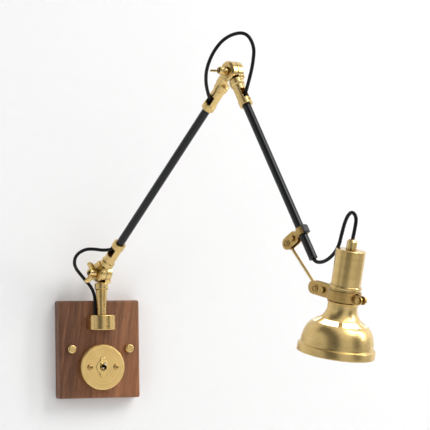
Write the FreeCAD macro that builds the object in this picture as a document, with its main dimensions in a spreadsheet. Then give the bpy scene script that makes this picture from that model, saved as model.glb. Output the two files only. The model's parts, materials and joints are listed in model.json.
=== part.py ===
"""Articulating wall lamp, millimetres.

The wall is the plane y = 0, +Z is up and the lamp reaches out to -Y. The origin is the centre of the
backboard's back face. A swivel stem, two arms, a link rod and the head all lie in one upright plane,
which turns about the spindle. Places in that plane are (reach, height): reach runs out from the
spindle's axis, and the near side of the plane is the one that the wing nuts are on.
"""
import FreeCAD, Part
import math
import os
import Sketcher
from FreeCAD import Placement, Rotation, Vector

SIZES = {
    # backboard and what is let into its back
    "BoardWidth": 120, "BoardHeight": 140, "BoardThick": 22, "BoardRound": 3,
    "BracketWidth": 104, "BracketHeight": 18, "BracketThick": 3, "BracketRecess": 3, "BracketZ": 0.7,
    "WallHoleSpacing": 60, "WallHoleDiameter": 4.5, "StudSpacing": 86, "StudDiameter": 4,
    "CapNutDiameter": 13, "CapNutLength": 8.5, "CapNutRound": 2.5,
    # switch
    "RosetteDiameter": 65, "RosetteThick": 15, "RosetteBevel": 1.5, "RosetteZ": -25.5,
    "SwitchHoleDiameter": 44, "DollyDiameter": 19, "DollyTabLength": 29, "DollyTabWidth": 8.7,
    "DollyThick": 1.6, "BushingDiameter": 9.6, "BushingHole": 7, "BushingLength": 4,
    "SwitchBodyDiameter": 26, "SwitchBodyLength": 26, "LeverTip": 4, "LeverNeck": 2.6,
    "LeverLength": 13.5, "LeverTilt": 25, "LeverPivotDepth": 1, "PlateScrewSpacing": 39,
    "PlateScrewDiameter": 8.6, "PlateScrewThick": 2,
    # boss, spindle and stem
    "BossDiameter": 40, "BossLow": 27.6, "BossHigh": 48.8, "BossRound": 1.2, "SpindleOut": 33,
    "SpindleDiameter": 8, "CounterboreDiameter": 18, "CounterboreDepth": 6, "WasherThick": 1.5,
    "BossScrewDiameter": 4, "BossScrewSpacing": 24, "ScrewHeadDepth": 3, "SleeveDiameter": 13.6,
    "SleeveHigh": 59, "StemLowDiameter": 14.2, "StemHighDiameter": 16.2, "StemHigh": 84.9,
    "CableDiameter": 4.8, "CableSeat": 42, "CableSeatX": -7, "CableSeatY": -26.5,
    # knuckles
    "Heading": 22, "BaseJointZ": 110, "DrumDiameter": 27.2, "LugThick": 10, "LugChamfer": 2.5,
    "KnuckleGap": 1, "FerruleDiameter": 19.5, "FerruleStart": 14.4, "FerruleLength": 10.2,
    "FerruleChamfer": 1.5, "NeckWidth": 17, "SlimNeckWidth": 9.5, "HighFerruleStart": 22,
    "HighFerruleLength": 12, "BoltDiameter": 6, "BoltHeadDiameter": 11, "BoltHeadThick": 3,
    "HubDiameter": 12, "HubLength": 12.6, "WingReach": 15.5, "WingThick": 3, "WingFlare": 4.6,
    "BaseWingAngle": 15, "ElbowWingAngle": 93,
    # arms
    "LowerTilt": 47.05, "LowerLength": 387.4, "ForearmTilt": 149.44, "ForearmLength": 299.4,
    "TubeDiameter": 11.5, "TubeWall": 1, "SocketDiameter": 16.5, "CollarDiameter": 18.4,
    "CollarLength": 9, "SocketBore": 11, "BaseSocketLength": 34.4, "HighSocketLength": 34.5,
    "ForearmSocketLength": 31.4, "WindowLength": 14, "WindowWidth": 11, "WindowToCollar": 0.8,
    "SetScrewDiameter": 3, "NubLength": 2,
    # clamp on the forearm and the link rod
    "ClampToEnd": 41.4, "ClampWidth": 10, "ClampThick": 1.6, "CheekGap": 5.4, "CheekHeight": 16.6,
    "ClampBoltX": 15.7, "ClampPinX": 28.5, "PinDiameter": 4, "PinHeadDiameter": 8, "PinHeadThick": 1.6,
    "BufferThick": 3, "BufferWidth": 11.5, "BufferAngle": 62, "HexAcross": 7, "HexThick": 3,
    "RodTilt": 139.13, "RodLength": 79.3, "RodDiameter": 4, "EyeDiameter": 10, "EyeThick": 5,
    # head
    "HeadTilt": 13.22, "HeadPinX": -49.9, "HeadPinZ": 75.7, "RimRadius": 50.9, "SkirtRadius": 47.6,
    "StepRadius": 46.4, "NeckRadius": 19.5, "SkirtTop": 10.5, "NeckStart": 58.5, "NeckTop": 86,
    "ShadeWall": 1.2, "NeckBeadZ": 67.9, "NeckBeadHalf": 1.5, "NeckBeadOut": 1.3, "VentLow": 40.7,
    "VentHigh": 46.5, "VentAngle": 50, "VentCount": 6, "VentTurn": 46,
    "CollarZ": 76.5, "CollarHeight": 13, "CollarWall": 2.2, "EarBoltX": 30.5,
    "EarEndX": 36, "StrapBoltX": -35.5, "StrapHeight": 17.5, "CapBeadRadius": 21.2, "CapRadius": 19.3,
    "CapTop": 136.5, "CapWall": 1.5, "GlandRadius": 6.75, "GlandTop": 150, "HolderRadius": 15,
    "HolderLow": 62, "HolderHigh": 118, "BulbRadius": 26, "BulbCentreZ": 27,
    # clearances
    "RunningFit": 0.05, "Seat": 0.2, "CableGap": 0.1,
}

doc = FreeCAD.newDocument("WallLamp")
sheet = doc.addObject("Spreadsheet::Sheet", "Sizes")
for row, (name, value) in enumerate(SIZES.items(), start=1):
    sheet.set(f"A{row}", name)
    sheet.set(f"B{row}", str(value))
    sheet.setAlias(f"B{row}", name)
doc.recompute()


class Size:
    """A length together with the sheet expression that gives it."""

    def __init__(self, value, text):
        self.value = float(value)
        self.text = text

    def __add__(self, other):
        return combined(self, other, "+")

    def __radd__(self, other):
        return combined(other, self, "+")

    def __sub__(self, other):
        return combined(self, other, "-")

    def __rsub__(self, other):
        return combined(other, self, "-")

    def __mul__(self, other):
        return combined(self, other, "*")

    def __rmul__(self, other):
        return combined(other, self, "*")

    def __truediv__(self, other):
        return combined(self, other, "/")

    def __neg__(self):
        return combined(0, self, "-")


def sized(number):
    return number if isinstance(number, Size) else Size(number, repr(float(number)))


def combined(first, second, sign):
    first = sized(first)
    second = sized(second)
    a = first.value
    b = second.value
    value = {"+": a + b, "-": a - b, "*": a * b, "/": a / b if b else 0.0}[sign]
    return Size(value, f"({first.text} {sign} {second.text})")


class Sheet:
    """Reads a size from the spreadsheet by its alias."""

    def __getattr__(self, alias):
        return Size(sheet.get(alias), f"Sizes.{alias}")


S = Sheet()


def v(size):
    return sized(size).value


class Circle:
    def __init__(self, x, y, radius):
        self.x = sized(x)
        self.y = sized(y)
        self.radius = sized(radius)


class Obround:
    """A slot with round ends whose centres lie on one level line."""

    def __init__(self, x_from, x_to, y, radius):
        self.x_from = sized(x_from)
        self.x_to = sized(x_to)
        self.y = sized(y)
        self.radius = sized(radius)


def pin_point(sketch, geometry, point, x, y):
    """Hold one point of the sketch at (x, y)."""
    for axis, size, line in (("DistanceX", sized(x), -2), ("DistanceY", sized(y), -1)):
        if size.value == 0:
            sketch.addConstraint(Sketcher.Constraint("PointOnObject", geometry, point, line))
        else:
            number = sketch.addConstraint(Sketcher.Constraint(axis, geometry, point, size.value))
            sketch.setExpression(f"Constraints[{number}]", size.text)


def pin_radius(sketch, geometry, radius):
    number = sketch.addConstraint(Sketcher.Constraint("Radius", geometry, radius.value))
    sketch.setExpression(f"Constraints[{number}]", radius.text)


def draw_circle(sketch, loop):
    centre = Vector(loop.x.value, loop.y.value, 0)
    geometry = sketch.addGeometry(Part.Circle(centre, Vector(0, 0, 1), loop.radius.value), False)
    pin_point(sketch, geometry, 3, loop.x, loop.y)
    pin_radius(sketch, geometry, loop.radius)


def draw_obround(sketch, loop):
    x0, x1, y, r = loop.x_from.value, loop.x_to.value, loop.y.value, loop.radius.value
    up = Vector(0, 0, 1)
    right = Part.ArcOfCircle(Part.Circle(Vector(x1, y, 0), up, r), -math.pi / 2, math.pi / 2)
    left = Part.ArcOfCircle(Part.Circle(Vector(x0, y, 0), up, r), math.pi / 2, 3 * math.pi / 2)
    top = Part.LineSegment(Vector(x1, y + r, 0), Vector(x0, y + r, 0))
    bottom = Part.LineSegment(Vector(x0, y - r, 0), Vector(x1, y - r, 0))
    a, b, c, d = [sketch.addGeometry(g, False) for g in (right, top, left, bottom)]
    for first, end, second, start in ((a, 2, b, 1), (b, 2, c, 1), (c, 2, d, 1), (d, 2, a, 1)):
        sketch.addConstraint(Sketcher.Constraint("Tangent", first, end, second, start))
    pin_point(sketch, a, 3, loop.x_to, loop.y)
    pin_point(sketch, c, 3, loop.x_from, loop.y)
    pin_radius(sketch, a, loop.radius)
    pin_radius(sketch, c, loop.radius)


def draw_polygon(sketch, corners):
    places = [Vector(v(x), v(y), 0) for x, y in corners]
    count = len(places)
    lines = []
    for i in range(count):
        line = Part.LineSegment(places[i], places[(i + 1) % count])
        lines.append(sketch.addGeometry(line, False))
    for i in range(count):
        following = lines[(i + 1) % count]
        sketch.addConstraint(Sketcher.Constraint("Coincident", lines[i], 2, following, 1))
    for line, (x, y) in zip(lines, corners):
        pin_point(sketch, line, 1, x, y)


class Piece:
    """One solid piece, made feature by feature in its own frame and then placed."""

    made = []
    groups = []

    def __init__(self, label, place=None):
        self.label = label
        self.body = doc.addObject("PartDesign::Body", label)
        self.body.Label = label
        self.body.Placement = place or Placement()
        Piece.made.append(self)

    def sketch(self, plane, loops, start=0):
        sketch = self.body.newObject("Sketcher::SketchObject", "Sketch")
        origin = [f for f in self.body.Origin.OriginFeatures if f.Role == plane + "_Plane"][0]
        sketch.AttachmentSupport = [(origin, "")]
        sketch.MapMode = "FlatFace"
        start = sized(start)
        if start.value:
            sketch.AttachmentOffset = Placement(Vector(0, 0, start.value), Rotation())
            sketch.setExpression("AttachmentOffset.Base.z", start.text)
        for loop in loops:
            if isinstance(loop, Circle):
                draw_circle(sketch, loop)
            elif isinstance(loop, Obround):
                draw_obround(sketch, loop)
            else:
                draw_polygon(sketch, loop)
        return sketch

    def feature(self, kind, profile, **settings):
        feature = self.body.newObject("PartDesign::" + kind, kind)
        feature.Profile = profile
        for name, value in settings.items():
            if isinstance(value, Size):
                setattr(feature, name, value.value)
                feature.setExpression(name, value.text)
            else:
                setattr(feature, name, value)
        return feature

    def pad(self, plane, loops, length, start=0):
        self.feature("Pad", self.sketch(plane, loops, start), Length=sized(length))
        return self

    def turn(self, corners, plane="XZ"):
        """Turn an outline about the sketch's upright axis."""
        profile = self.sketch(plane, [corners])
        self.feature("Revolution", profile, ReferenceAxis=(profile, ["V_Axis"]), Angle=360)
        return self

    def cut(self, plane, loops, length, start=0, along=False):
        """Cut against the plane's normal, or along it."""
        profile = self.sketch(plane, loops, start)
        self.feature("Pocket", profile, Length=sized(length), Reversed=along)
        return self

    def edges(self, wanted):
        doc.recompute()
        shape = self.body.Tip.Shape
        return [f"Edge{i}" for i, edge in enumerate(shape.Edges, start=1) if wanted(edge)]

    def fillet(self, wanted, radius):
        """Round the edges that the test picks."""
        names = self.edges(wanted)
        base = self.body.Tip
        feature = self.body.newObject("PartDesign::Fillet", "Fillet")
        feature.Base = (base, names)
        feature.Radius = v(radius)
        feature.setExpression("Radius", sized(radius).text)
        return self


def grouped(label, pieces):
    """Identical pieces that share one node as separate solids."""
    group = doc.addObject("Part::Compound", label)
    group.Label = label
    group.Links = [piece.body for piece in pieces]
    for piece in pieces:
        Piece.made.remove(piece)
    Piece.groups.append(group)


def near(a, b):
    return abs(a - b) < 0.001


def ring_at(z):
    """Picks the whole circles that lie level at height z."""
    return lambda e: e.BoundBox.ZLength < 0.001 and near(e.BoundBox.ZMin, v(z)) and len(e.Vertexes) == 1


def hexagon(across, x=0, y=0):
    """A hexagon's corners from its width across flats."""
    radius = sized(across) / math.sqrt(3)
    corners = []
    for step in range(6):
        angle = math.radians(60 * step + 30)
        corners.append((x + radius * math.cos(angle), y + radius * math.sin(angle)))
    return corners


# ---- frames -------------------------------------------------------------------------------------
UP = Vector(0, 0, 1)
SPINDLE = Placement(Vector(0, -v(S.SpindleOut), 0), Rotation(UP, v(S.Heading) - 90))


def in_plane(reach, height, tilt=0.0):
    """A frame in the lamp's plane: Z leans out from upright by tilt, -Y faces the near side."""
    return SPINDLE * Placement(Vector(reach, 0, height), Rotation(Vector(0, 1, 0), tilt))


def onward(start, tilt, length):
    """The (reach, height) at that distance from start in the direction of tilt."""
    lean = math.radians(tilt)
    return start[0] + length * math.sin(lean), start[1] + length * math.cos(lean)


BASE_JOINT = (0.0, v(S.BaseJointZ))
ELBOW_JOINT = onward(BASE_JOINT, v(S.LowerTilt), v(S.LowerLength))
LOWER = in_plane(*BASE_JOINT, v(S.LowerTilt))
FOREARM = in_plane(*ELBOW_JOINT, v(S.ForearmTilt))
CLAMP_STATION = S.ForearmLength - S.ClampToEnd
ROD_PIN = onward(onward(ELBOW_JOINT, v(S.ForearmTilt), v(CLAMP_STATION)),
                 v(S.ForearmTilt) + 90, v(S.ClampPinX))
HEAD_PIN = onward(ROD_PIN, v(S.RodTilt), v(S.RodLength))
ROD = in_plane(*ROD_PIN, v(S.RodTilt))
RIM = onward(onward(HEAD_PIN, v(S.HeadTilt), -v(S.HeadPinZ)), v(S.HeadTilt) + 90, -v(S.HeadPinX))
HEAD = in_plane(*RIM, v(S.HeadTilt))


def shifted(frame, x=0.0, y=0.0, z=0.0, turn=None):
    return frame * Placement(Vector(v(x), v(y), v(z)), turn or Rotation())


# ---- backboard ----------------------------------------------------------------------------------
def backboard():
    half_width = S.BoardWidth / 2
    half_height = S.BoardHeight / 2
    thick = S.BoardThick
    board = Piece("backboard")
    outline = [(-half_width, -half_height), (half_width, -half_height),
               (half_width, half_height), (-half_width, half_height)]
    board.pad("XZ", [outline], thick)
    board.fillet(lambda e: e.BoundBox.YMin < 0.001 - v(thick) or e.BoundBox.YLength > v(thick) - 1,
                 S.BoardRound)
    hole = Circle(0, S.RosetteZ, S.SwitchHoleDiameter / 2)
    studs = [Circle(side * S.StudSpacing / 2, S.BracketZ, S.StudDiameter / 2 + S.Seat) for side in (-1, 1)]
    screws = [Circle(side * S.BossScrewSpacing / 2, boss_middle(), S.BossScrewDiameter / 2 + S.Seat)
              for side in (-1, 1)]
    board.cut("XZ", [hole] + studs + screws, thick, along=True)
    heads = [Circle(screw.x, screw.y, S.BossScrewDiameter + S.Seat) for screw in screws]
    board.cut("XZ", heads, S.ScrewHeadDepth, along=True)
    x = S.BracketWidth / 2 + 1
    low = S.BracketZ - S.BracketHeight / 2 - 1
    high = S.BracketZ + S.BracketHeight / 2 + 1
    board.cut("XZ", [[(-x, low), (x, low), (x, high), (-x, high)]], S.BracketRecess, along=True)


def boss_middle():
    return (S.BossLow + S.BossHigh) / 2


def bracket():
    x = S.BracketWidth / 2
    y = S.BracketHeight / 2
    start = S.BracketRecess - S.BracketThick
    plate = Piece("wall_bracket")
    level = S.BracketZ
    plate.pad("XZ", [[(-x, level - y), (x, level - y), (x, level + y), (-x, level + y)]],
              S.BracketThick, start=start)
    holes = [Circle(side * S.WallHoleSpacing / 2, level, S.WallHoleDiameter / 2) for side in (-1, 1)]
    studs = [Circle(side * S.StudSpacing / 2, level, S.StudDiameter / 2 + S.RunningFit) for side in (-1, 1)]
    plate.cut("XZ", holes + studs, S.BracketRecess, along=True)
    stud_pair = []
    nut_pair = []
    for side, label in ((-1, "left"), (1, "right")):
        stud = Piece(f"stud_{label}")
        centre = side * S.StudSpacing / 2
        length = S.BoardThick + S.CapNutLength / 2 - S.BracketRecess + S.BracketThick
        stud.pad("XZ", [Circle(centre, level, S.StudDiameter / 2)], length, start=start)
        nut = Piece(f"cap_nut_{label}", Placement(Vector(v(centre), -v(S.BoardThick), v(level)),
                                                  Rotation(Vector(1, 0, 0), 90)))
        bore = S.StudDiameter / 2 + S.RunningFit
        depth = S.CapNutLength / 2 + S.Seat
        nut.turn([(bore, 0), (S.CapNutDiameter / 2, 0), (S.CapNutDiameter / 2, S.CapNutLength),
                  (0, S.CapNutLength), (0, depth), (bore, depth)])
        nut.fillet(ring_at(S.CapNutLength), S.CapNutRound)
        stud_pair.append(stud)
        nut_pair.append(nut)
    grouped("bracket_studs", stud_pair)
    grouped("cap_nuts", nut_pair)


def rosette():
    face = S.BoardThick + S.RosetteThick
    out = Rotation(Vector(1, 0, 0), 90)
    level = S.RosetteZ
    r = S.RosetteDiameter / 2
    plate = Piece("rosette", Placement(Vector(0, -v(S.BoardThick), v(level)), out))
    bevel = S.RosetteBevel
    body_hole = S.SwitchBodyDiameter / 2 + S.Seat
    pocket = S.RosetteThick - 3
    neck_hole = S.BushingDiameter / 2 + S.RunningFit
    plate.turn([(body_hole, 0), (r, 0), (r, S.RosetteThick - bevel), (r - bevel, S.RosetteThick),
                (neck_hole, S.RosetteThick), (neck_hole, pocket), (body_hole, pocket)])
    screws = [Circle(side * S.PlateScrewSpacing / 2, 0, S.PlateScrewDiameter / 4) for side in (-1, 1)]
    plate.cut("XY", screws, S.RosetteThick, along=True)
    front = Placement(Vector(0, -v(face), v(level)), out)
    dolly = Piece("switch_plate", front)
    dolly.pad("XY", [Circle(0, 0, S.DollyDiameter / 2)], S.DollyThick)
    half = S.DollyTabWidth / 2
    end = S.DollyTabLength / 2
    dolly.pad("XY", [[(-half, -end), (half, -end), (half, end), (-half, end)]], S.DollyThick)
    dolly.cut("XY", [Circle(0, 0, neck_hole)], S.DollyThick, along=True)
    dolly.fillet(lambda e: near(e.BoundBox.ZLength, v(S.DollyThick))
                 and abs(e.BoundBox.YMin) > v(end) - 0.1, half * 0.85)
    bushing = Piece("switch_bushing", front)
    inner = S.BushingHole / 2
    outer = S.BushingDiameter / 2
    top = S.BushingLength
    bushing.turn([(inner, pocket - S.RosetteThick), (outer, pocket - S.RosetteThick), (outer, top - 1),
                  (outer - 0.8, top), (inner, top)])
    case = Piece("switch_body", front)
    case.pad("XY", [Circle(0, 0, S.SwitchBodyDiameter / 2)], S.SwitchBodyLength,
             start=pocket - S.RosetteThick - S.SwitchBodyLength)
    pair = []
    for side, label in ((-1, "left"), (1, "right")):
        screw = Piece(f"plate_screw_{label}", shifted(front, x=side * S.PlateScrewSpacing / 2))
        head = S.PlateScrewDiameter / 2
        shank = head / 2 - S.RunningFit
        thick = S.PlateScrewThick
        screw.turn([(0, 1 - S.RosetteThick), (shank, 1 - S.RosetteThick), (shank, 0), (head, 0),
                    (head, thick * 0.4), (head * 0.6, thick), (0, thick)])
        pair.append(screw)
    grouped("plate_screws", pair)
    pivot = shifted(front, z=S.LeverPivotDepth, turn=Rotation(Vector(1, 0, 0), -v(S.LeverTilt)))
    lever = Piece("toggle_lever", pivot)
    ball = S.BushingHole / 2 - 0.6
    neck = S.LeverNeck / 2
    tip = S.LeverTip / 2
    long = S.LeverLength
    lever.turn([(0, -ball), (ball * 0.7, -ball * 0.7), (ball, 0), (neck, 1.5), (neck, 5),
                (tip, long - tip), (tip * 0.7, long - tip * 0.3), (0, long)])
    pivot_pin = Piece("toggle_pin", shifted(front, z=S.LeverPivotDepth))
    pivot_pin.pad("YZ", [Circle(0, 0, 0.6)], S.BushingHole - 0.2, start=-(S.BushingHole - 0.2) / 2)
    lever.cut("YZ", [Circle(0, 0, 0.65)], ball * 2, start=-ball, along=True)


# ---- boss and swivel stem -----------------------------------------------------------------------
def boss():
    axis = Placement(Vector(0, -v(S.SpindleOut), 0), Rotation())
    r = S.BossDiameter / 2
    bore = S.SpindleDiameter / 2 + S.RunningFit
    wide = S.CounterboreDiameter / 2
    shelf = S.BossLow + S.CounterboreDepth
    body = Piece("boss", axis)
    body.turn([(wide, S.BossLow), (r, S.BossLow), (r, S.BossHigh), (bore, S.BossHigh), (bore, shelf),
               (wide, shelf)])
    body.fillet(lambda e: ring_at(S.BossHigh)(e) and e.BoundBox.XLength > v(r), S.BossRound)
    body.fillet(lambda e: ring_at(S.BossLow)(e) and e.BoundBox.XLength > v(r) * 1.5, S.BossRound)
    back = S.SpindleOut - S.BoardThick
    tall = S.BossHigh + 1
    body.cut("XY", [[(-r, back), (r, back), (r, r + 1), (-r, r + 1)]], tall, along=True)
    hole = S.CableDiameter / 2 + S.Seat
    body.cut("XY", [Circle(S.CableSeatX, S.CableSeatY + S.SpindleOut, hole)], tall, start=S.CableSeat,
             along=True)
    screws = [Circle(side * S.BossScrewSpacing / 2, boss_middle(), S.BossScrewDiameter / 2 + S.RunningFit)
              for side in (-1, 1)]
    body.cut("XZ", screws, 10, start=-back, along=True)
    pair = []
    for side, label in ((-1, "left"), (1, "right")):
        centre = side * S.BossScrewSpacing / 2
        screw = Piece(f"boss_screw_{label}", Placement(Vector(v(centre), 0, v(boss_middle())),
                                                       Rotation(Vector(1, 0, 0), 90)))
        shank = S.BossScrewDiameter / 2
        seat = S.ScrewHeadDepth
        screw.turn([(0, 0.5), (shank * 2, 0.5), (shank * 2, seat), (shank, seat), (shank, S.BoardThick + 8),
                    (0, S.BoardThick + 8)])
        pair.append(screw)
    grouped("boss_screws", pair)
    sleeve = Piece("swivel_sleeve", axis)
    r = S.SleeveDiameter / 2
    sleeve.turn([(bore, S.BossHigh), (r, S.BossHigh), (r, S.SleeveHigh), (bore, S.SleeveHigh)])
    spindle = Piece("spindle", axis)
    r = S.SpindleDiameter / 2
    hole = r * 0.5
    top = S.SleeveHigh + 12
    spindle.turn([(hole, shelf), (r, shelf), (r, top), (0, top), (0, shelf + 9), (hole, shelf + 9)])
    washer = Piece("spindle_washer", axis)
    low = shelf - S.WasherThick
    hole = hole - S.RunningFit
    washer.turn([(hole + 0.1, low), (wide - 1, low), (wide - 1, shelf), (hole + 0.1, shelf)])
    screw = Piece("spindle_screw", axis)
    screw.turn([(0, low - 3), (wide * 0.6, low - 3), (wide * 0.6, low), (hole, low), (hole, shelf + 8),
                (0, shelf + 8)])


def stem():
    low = S.SleeveHigh
    high = S.StemHigh
    post = Piece("stem", SPINDLE)
    bore = S.SpindleDiameter / 2
    socket = low + 12
    post.turn([(bore, low), (S.StemLowDiameter / 2, low), (S.StemHighDiameter / 2, high), (0, high),
               (0, socket), (bore, socket)])
    height = S.BaseJointZ
    knuckle_end("stem_knuckle", in_plane(0, v(height), 180), S.FerruleStart + 0.2,
                height - S.FerruleStart - 0.2 - high, S.NeckWidth, near_side=False, chamfer=1)


# ---- knuckles -----------------------------------------------------------------------------------
def knuckle_end(label, frame, ferrule_start, ferrule_length, neck_width, near_side, chamfer):
    """Half of a lapped knuckle: a drum half across Y, a neck, and a ferrule along Z."""
    side = -1 if near_side else 1
    inner = side * S.KnuckleGap / 2
    outer = side * (S.KnuckleGap / 2 + S.LugThick)
    bevelled = outer - side * sized(chamfer)
    r = S.DrumDiameter / 2
    bore = S.BoltDiameter / 2 + S.RunningFit
    piece = Piece(label, frame)
    piece.turn([(bore, inner), (r, inner), (r, bevelled), (r - chamfer, outer), (bore, outer)], plane="XY")
    half = sized(neck_width) / 2
    start = S.KnuckleGap / 2 if near_side else -(S.KnuckleGap / 2 + S.LugThick)
    low = S.BoltDiameter
    high = ferrule_start + 1
    piece.pad("XZ", [[(-half, low), (half, low), (half, high), (-half, high)]], S.LugThick, start=start)
    r = S.FerruleDiameter / 2
    edge = S.FerruleChamfer
    end = ferrule_start + ferrule_length
    piece.turn([(0, ferrule_start), (r - edge, ferrule_start), (r, ferrule_start + edge), (r, end - edge),
                (r - edge, end), (0, end)])
    return piece


def knuckle_bolt(name, frame, wing_frame, near_lug):
    """The bolt, washer and wing nut of a knuckle; near_lug says which lug the washer lies on."""
    half = S.KnuckleGap / 2 + S.LugThick
    r = S.BoltDiameter / 2
    head = S.BoltHeadDiameter / 2
    head_end = half + S.BoltHeadThick
    tip = -(half + S.HubLength - 3)
    bolt = Piece(f"{name}_bolt", frame)
    bolt.turn([(0, tip), (r, tip), (r, half), (head, half), (head, head_end - 1), (head - 1, head_end),
               (0, head_end)], plane="XY")
    washer = Piece(f"{name}_washer", frame)
    gap = S.KnuckleGap / 2
    fit = r + S.RunningFit
    low = -gap if near_lug else S.RunningFit - gap
    high = gap - S.RunningFit if near_lug else gap
    rim = S.DrumDiameter / 2 - 1
    washer.turn([(fit, low), (rim, low), (rim, high), (fit, high)], plane="XY")
    hub = S.HubDiameter / 2
    end = -(half + S.HubLength)
    bottom = tip - 0.3
    nut = Piece(f"{name}_wing_nut", wing_frame)
    nut.turn([(fit, -half), (hub, -half), (hub, end + 1), (hub - 1, end), (1.8, end), (1.8, bottom),
              (fit, bottom)], plane="XY")
    reach = S.WingReach
    flare = end - S.WingFlare
    for side in (-1, 1):
        outline = [(-half - 2, side * (hub - 1.5)), (-half - 3, side * (hub + 2)),
                   (end + 3, side * (reach - 1)), (end - 1, side * reach), (flare + 1, side * (reach - 1)),
                   (flare, side * (reach - 3)), (flare + 0.8, side * (reach - 5)),
                   (end, side * (hub - 0.5)), (end + 2, side * (hub - 1.5))]
        nut.pad("YZ", [outline], S.WingThick, start=-S.WingThick / 2)


# ---- arms ---------------------------------------------------------------------------------------
def socket(label, frame, length, window_side):
    """A tube socket along Z from its ferrule, with a cable window and a collar at its mouth."""
    r = S.SocketDiameter / 2
    collar = S.CollarDiameter / 2
    bore = S.SocketBore / 2
    seat = S.TubeDiameter / 2 + S.RunningFit
    start = length - S.CollarLength
    piece = Piece(label, frame)
    piece.turn([(0, 0), (r, 0), (r, start), (collar - 0.5, start), (collar, start + 0.5),
                (collar, length - 0.5), (collar - 0.5, length), (seat, length), (seat, start),
                (bore, start), (bore, 3), (0, 3)])
    high = start - S.WindowToCollar
    low = high - S.WindowLength
    half = S.WindowWidth / 2
    window = [(-half, low), (half, low), (half, high), (-half, high)]
    if window_side == "near":
        piece.cut("XZ", [window], r + 1, along=True)
    else:
        turned = [(y, z) for y, z in window]
        piece.cut("YZ", [turned], r + 1, along=False)
    hole = S.SetScrewDiameter / 2 + S.RunningFit
    screw_z = length - S.CollarLength / 2
    if window_side == "near":
        piece.cut("XZ", [Circle(0, screw_z, hole)], collar + 1, along=False)
        turn = Rotation(Vector(1, 0, 0), -90)
    else:
        piece.cut("YZ", [Circle(0, screw_z, hole)], collar + 1, along=False)
        turn = Rotation(Vector(0, 1, 0), -90)
    screw = Piece(label.replace("socket", "set_screw"), shifted(frame, z=screw_z, turn=turn))
    head = S.SetScrewDiameter / 2
    end = collar + (S.NubLength if window_side != "near" else -0.5)
    screw.turn([(0, seat), (head, seat), (head, end - 0.4), (head - 0.4, end), (0, end)])
    return screw


def tube(label, frame, start, end):
    outer = S.TubeDiameter / 2
    inner = outer - S.TubeWall
    piece = Piece(label, frame)
    piece.turn([(inner, start), (outer, start), (outer, end), (inner, end)])


def lower_arm():
    first = S.FerruleStart + S.FerruleLength
    length = S.LowerLength
    last = S.HighFerruleStart + S.HighFerruleLength
    knuckle_end("lower_knuckle", LOWER, S.FerruleStart, S.FerruleLength, S.NeckWidth, True, S.LugChamfer)
    low_screw = socket("base_socket", shifted(LOWER, z=first), S.BaseSocketLength, "near")
    flip = Rotation(Vector(0, 1, 0), 180)
    top = shifted(LOWER, z=length, turn=flip)
    knuckle_end("upper_knuckle", top, S.HighFerruleStart, S.HighFerruleLength, S.SlimNeckWidth, True,
                S.LugChamfer)
    high_screw = socket("upper_socket", shifted(top, z=last), S.HighSocketLength, "near")
    grouped("lower_set_screws", [low_screw, high_screw])
    tube("lower_tube", LOWER, first + S.BaseSocketLength - S.CollarLength,
         length - last - S.HighSocketLength + S.CollarLength)


def forearm():
    first = S.FerruleStart + S.FerruleLength
    knuckle_end("forearm_knuckle", FOREARM, S.FerruleStart, S.FerruleLength, S.NeckWidth, False, 1)
    socket("forearm_socket", shifted(FOREARM, z=first), S.ForearmSocketLength, "outer")
    tube("forearm_tube", FOREARM, first + S.ForearmSocketLength - S.CollarLength, S.ForearmLength - 1)
    bush = Piece("tube_bush", shifted(FOREARM, z=S.ForearmLength))
    outer = S.TubeDiameter / 2
    inner = outer - S.TubeWall - S.RunningFit
    hole = S.CableDiameter / 2 + S.RunningFit
    bush.turn([(hole, -8), (inner, -8), (inner, -1), (outer, -1), (outer, -0.4), (outer - 0.4, 0),
               (hole, 0)])


def clamp():
    frame = shifted(FOREARM, z=CLAMP_STATION)
    inner = S.TubeDiameter / 2 + S.RunningFit
    outer = inner + S.ClampThick
    half = S.ClampWidth / 2
    gap = S.CheekGap / 2
    plate = S.CheekHeight / 2
    band = Piece("clamp_band", frame)
    band.turn([(inner, -half), (outer, -half), (outer, half), (inner, half)])
    for start in (gap, -gap - S.ClampThick):
        band.pad("XZ", [Obround(inner + plate, S.ClampPinX, 0, plate)], S.ClampThick, start=start)
    holes = [Circle(S.ClampBoltX, 0, S.PinDiameter / 2 + S.RunningFit),
             Circle(S.ClampPinX, 0, S.PinDiameter / 2 + S.RunningFit)]
    band.cut("XZ", holes, outer * 2, start=outer)
    band.cut("XY", [[(0, -gap), (outer + 2, -gap), (outer + 2, gap), (0, gap)]], plate * 2, start=plate)
    band.cut("XY", [Circle(0, 0, inner)], plate * 2, start=plate)
    face = gap + S.ClampThick
    cross_fasteners("clamp", frame, S.ClampBoltX, 0, face)
    cross_pin("clamp_pin", frame, S.ClampPinX, 0, face)
    buffer = Piece("clamp_buffer", shifted(frame, turn=Rotation(UP, 180)))
    half = S.BufferWidth / 2
    far = outer + S.BufferThick
    profile = buffer.sketch("XZ", [[(outer, -half), (far - 0.8, -half), (far, 0.8 - half),
                                    (far, half - 0.8), (far - 0.8, half), (outer, half)]])
    buffer.feature("Revolution", profile, ReferenceAxis=(profile, ["V_Axis"]), Angle=S.BufferAngle,
                   Midplane=True)


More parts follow.
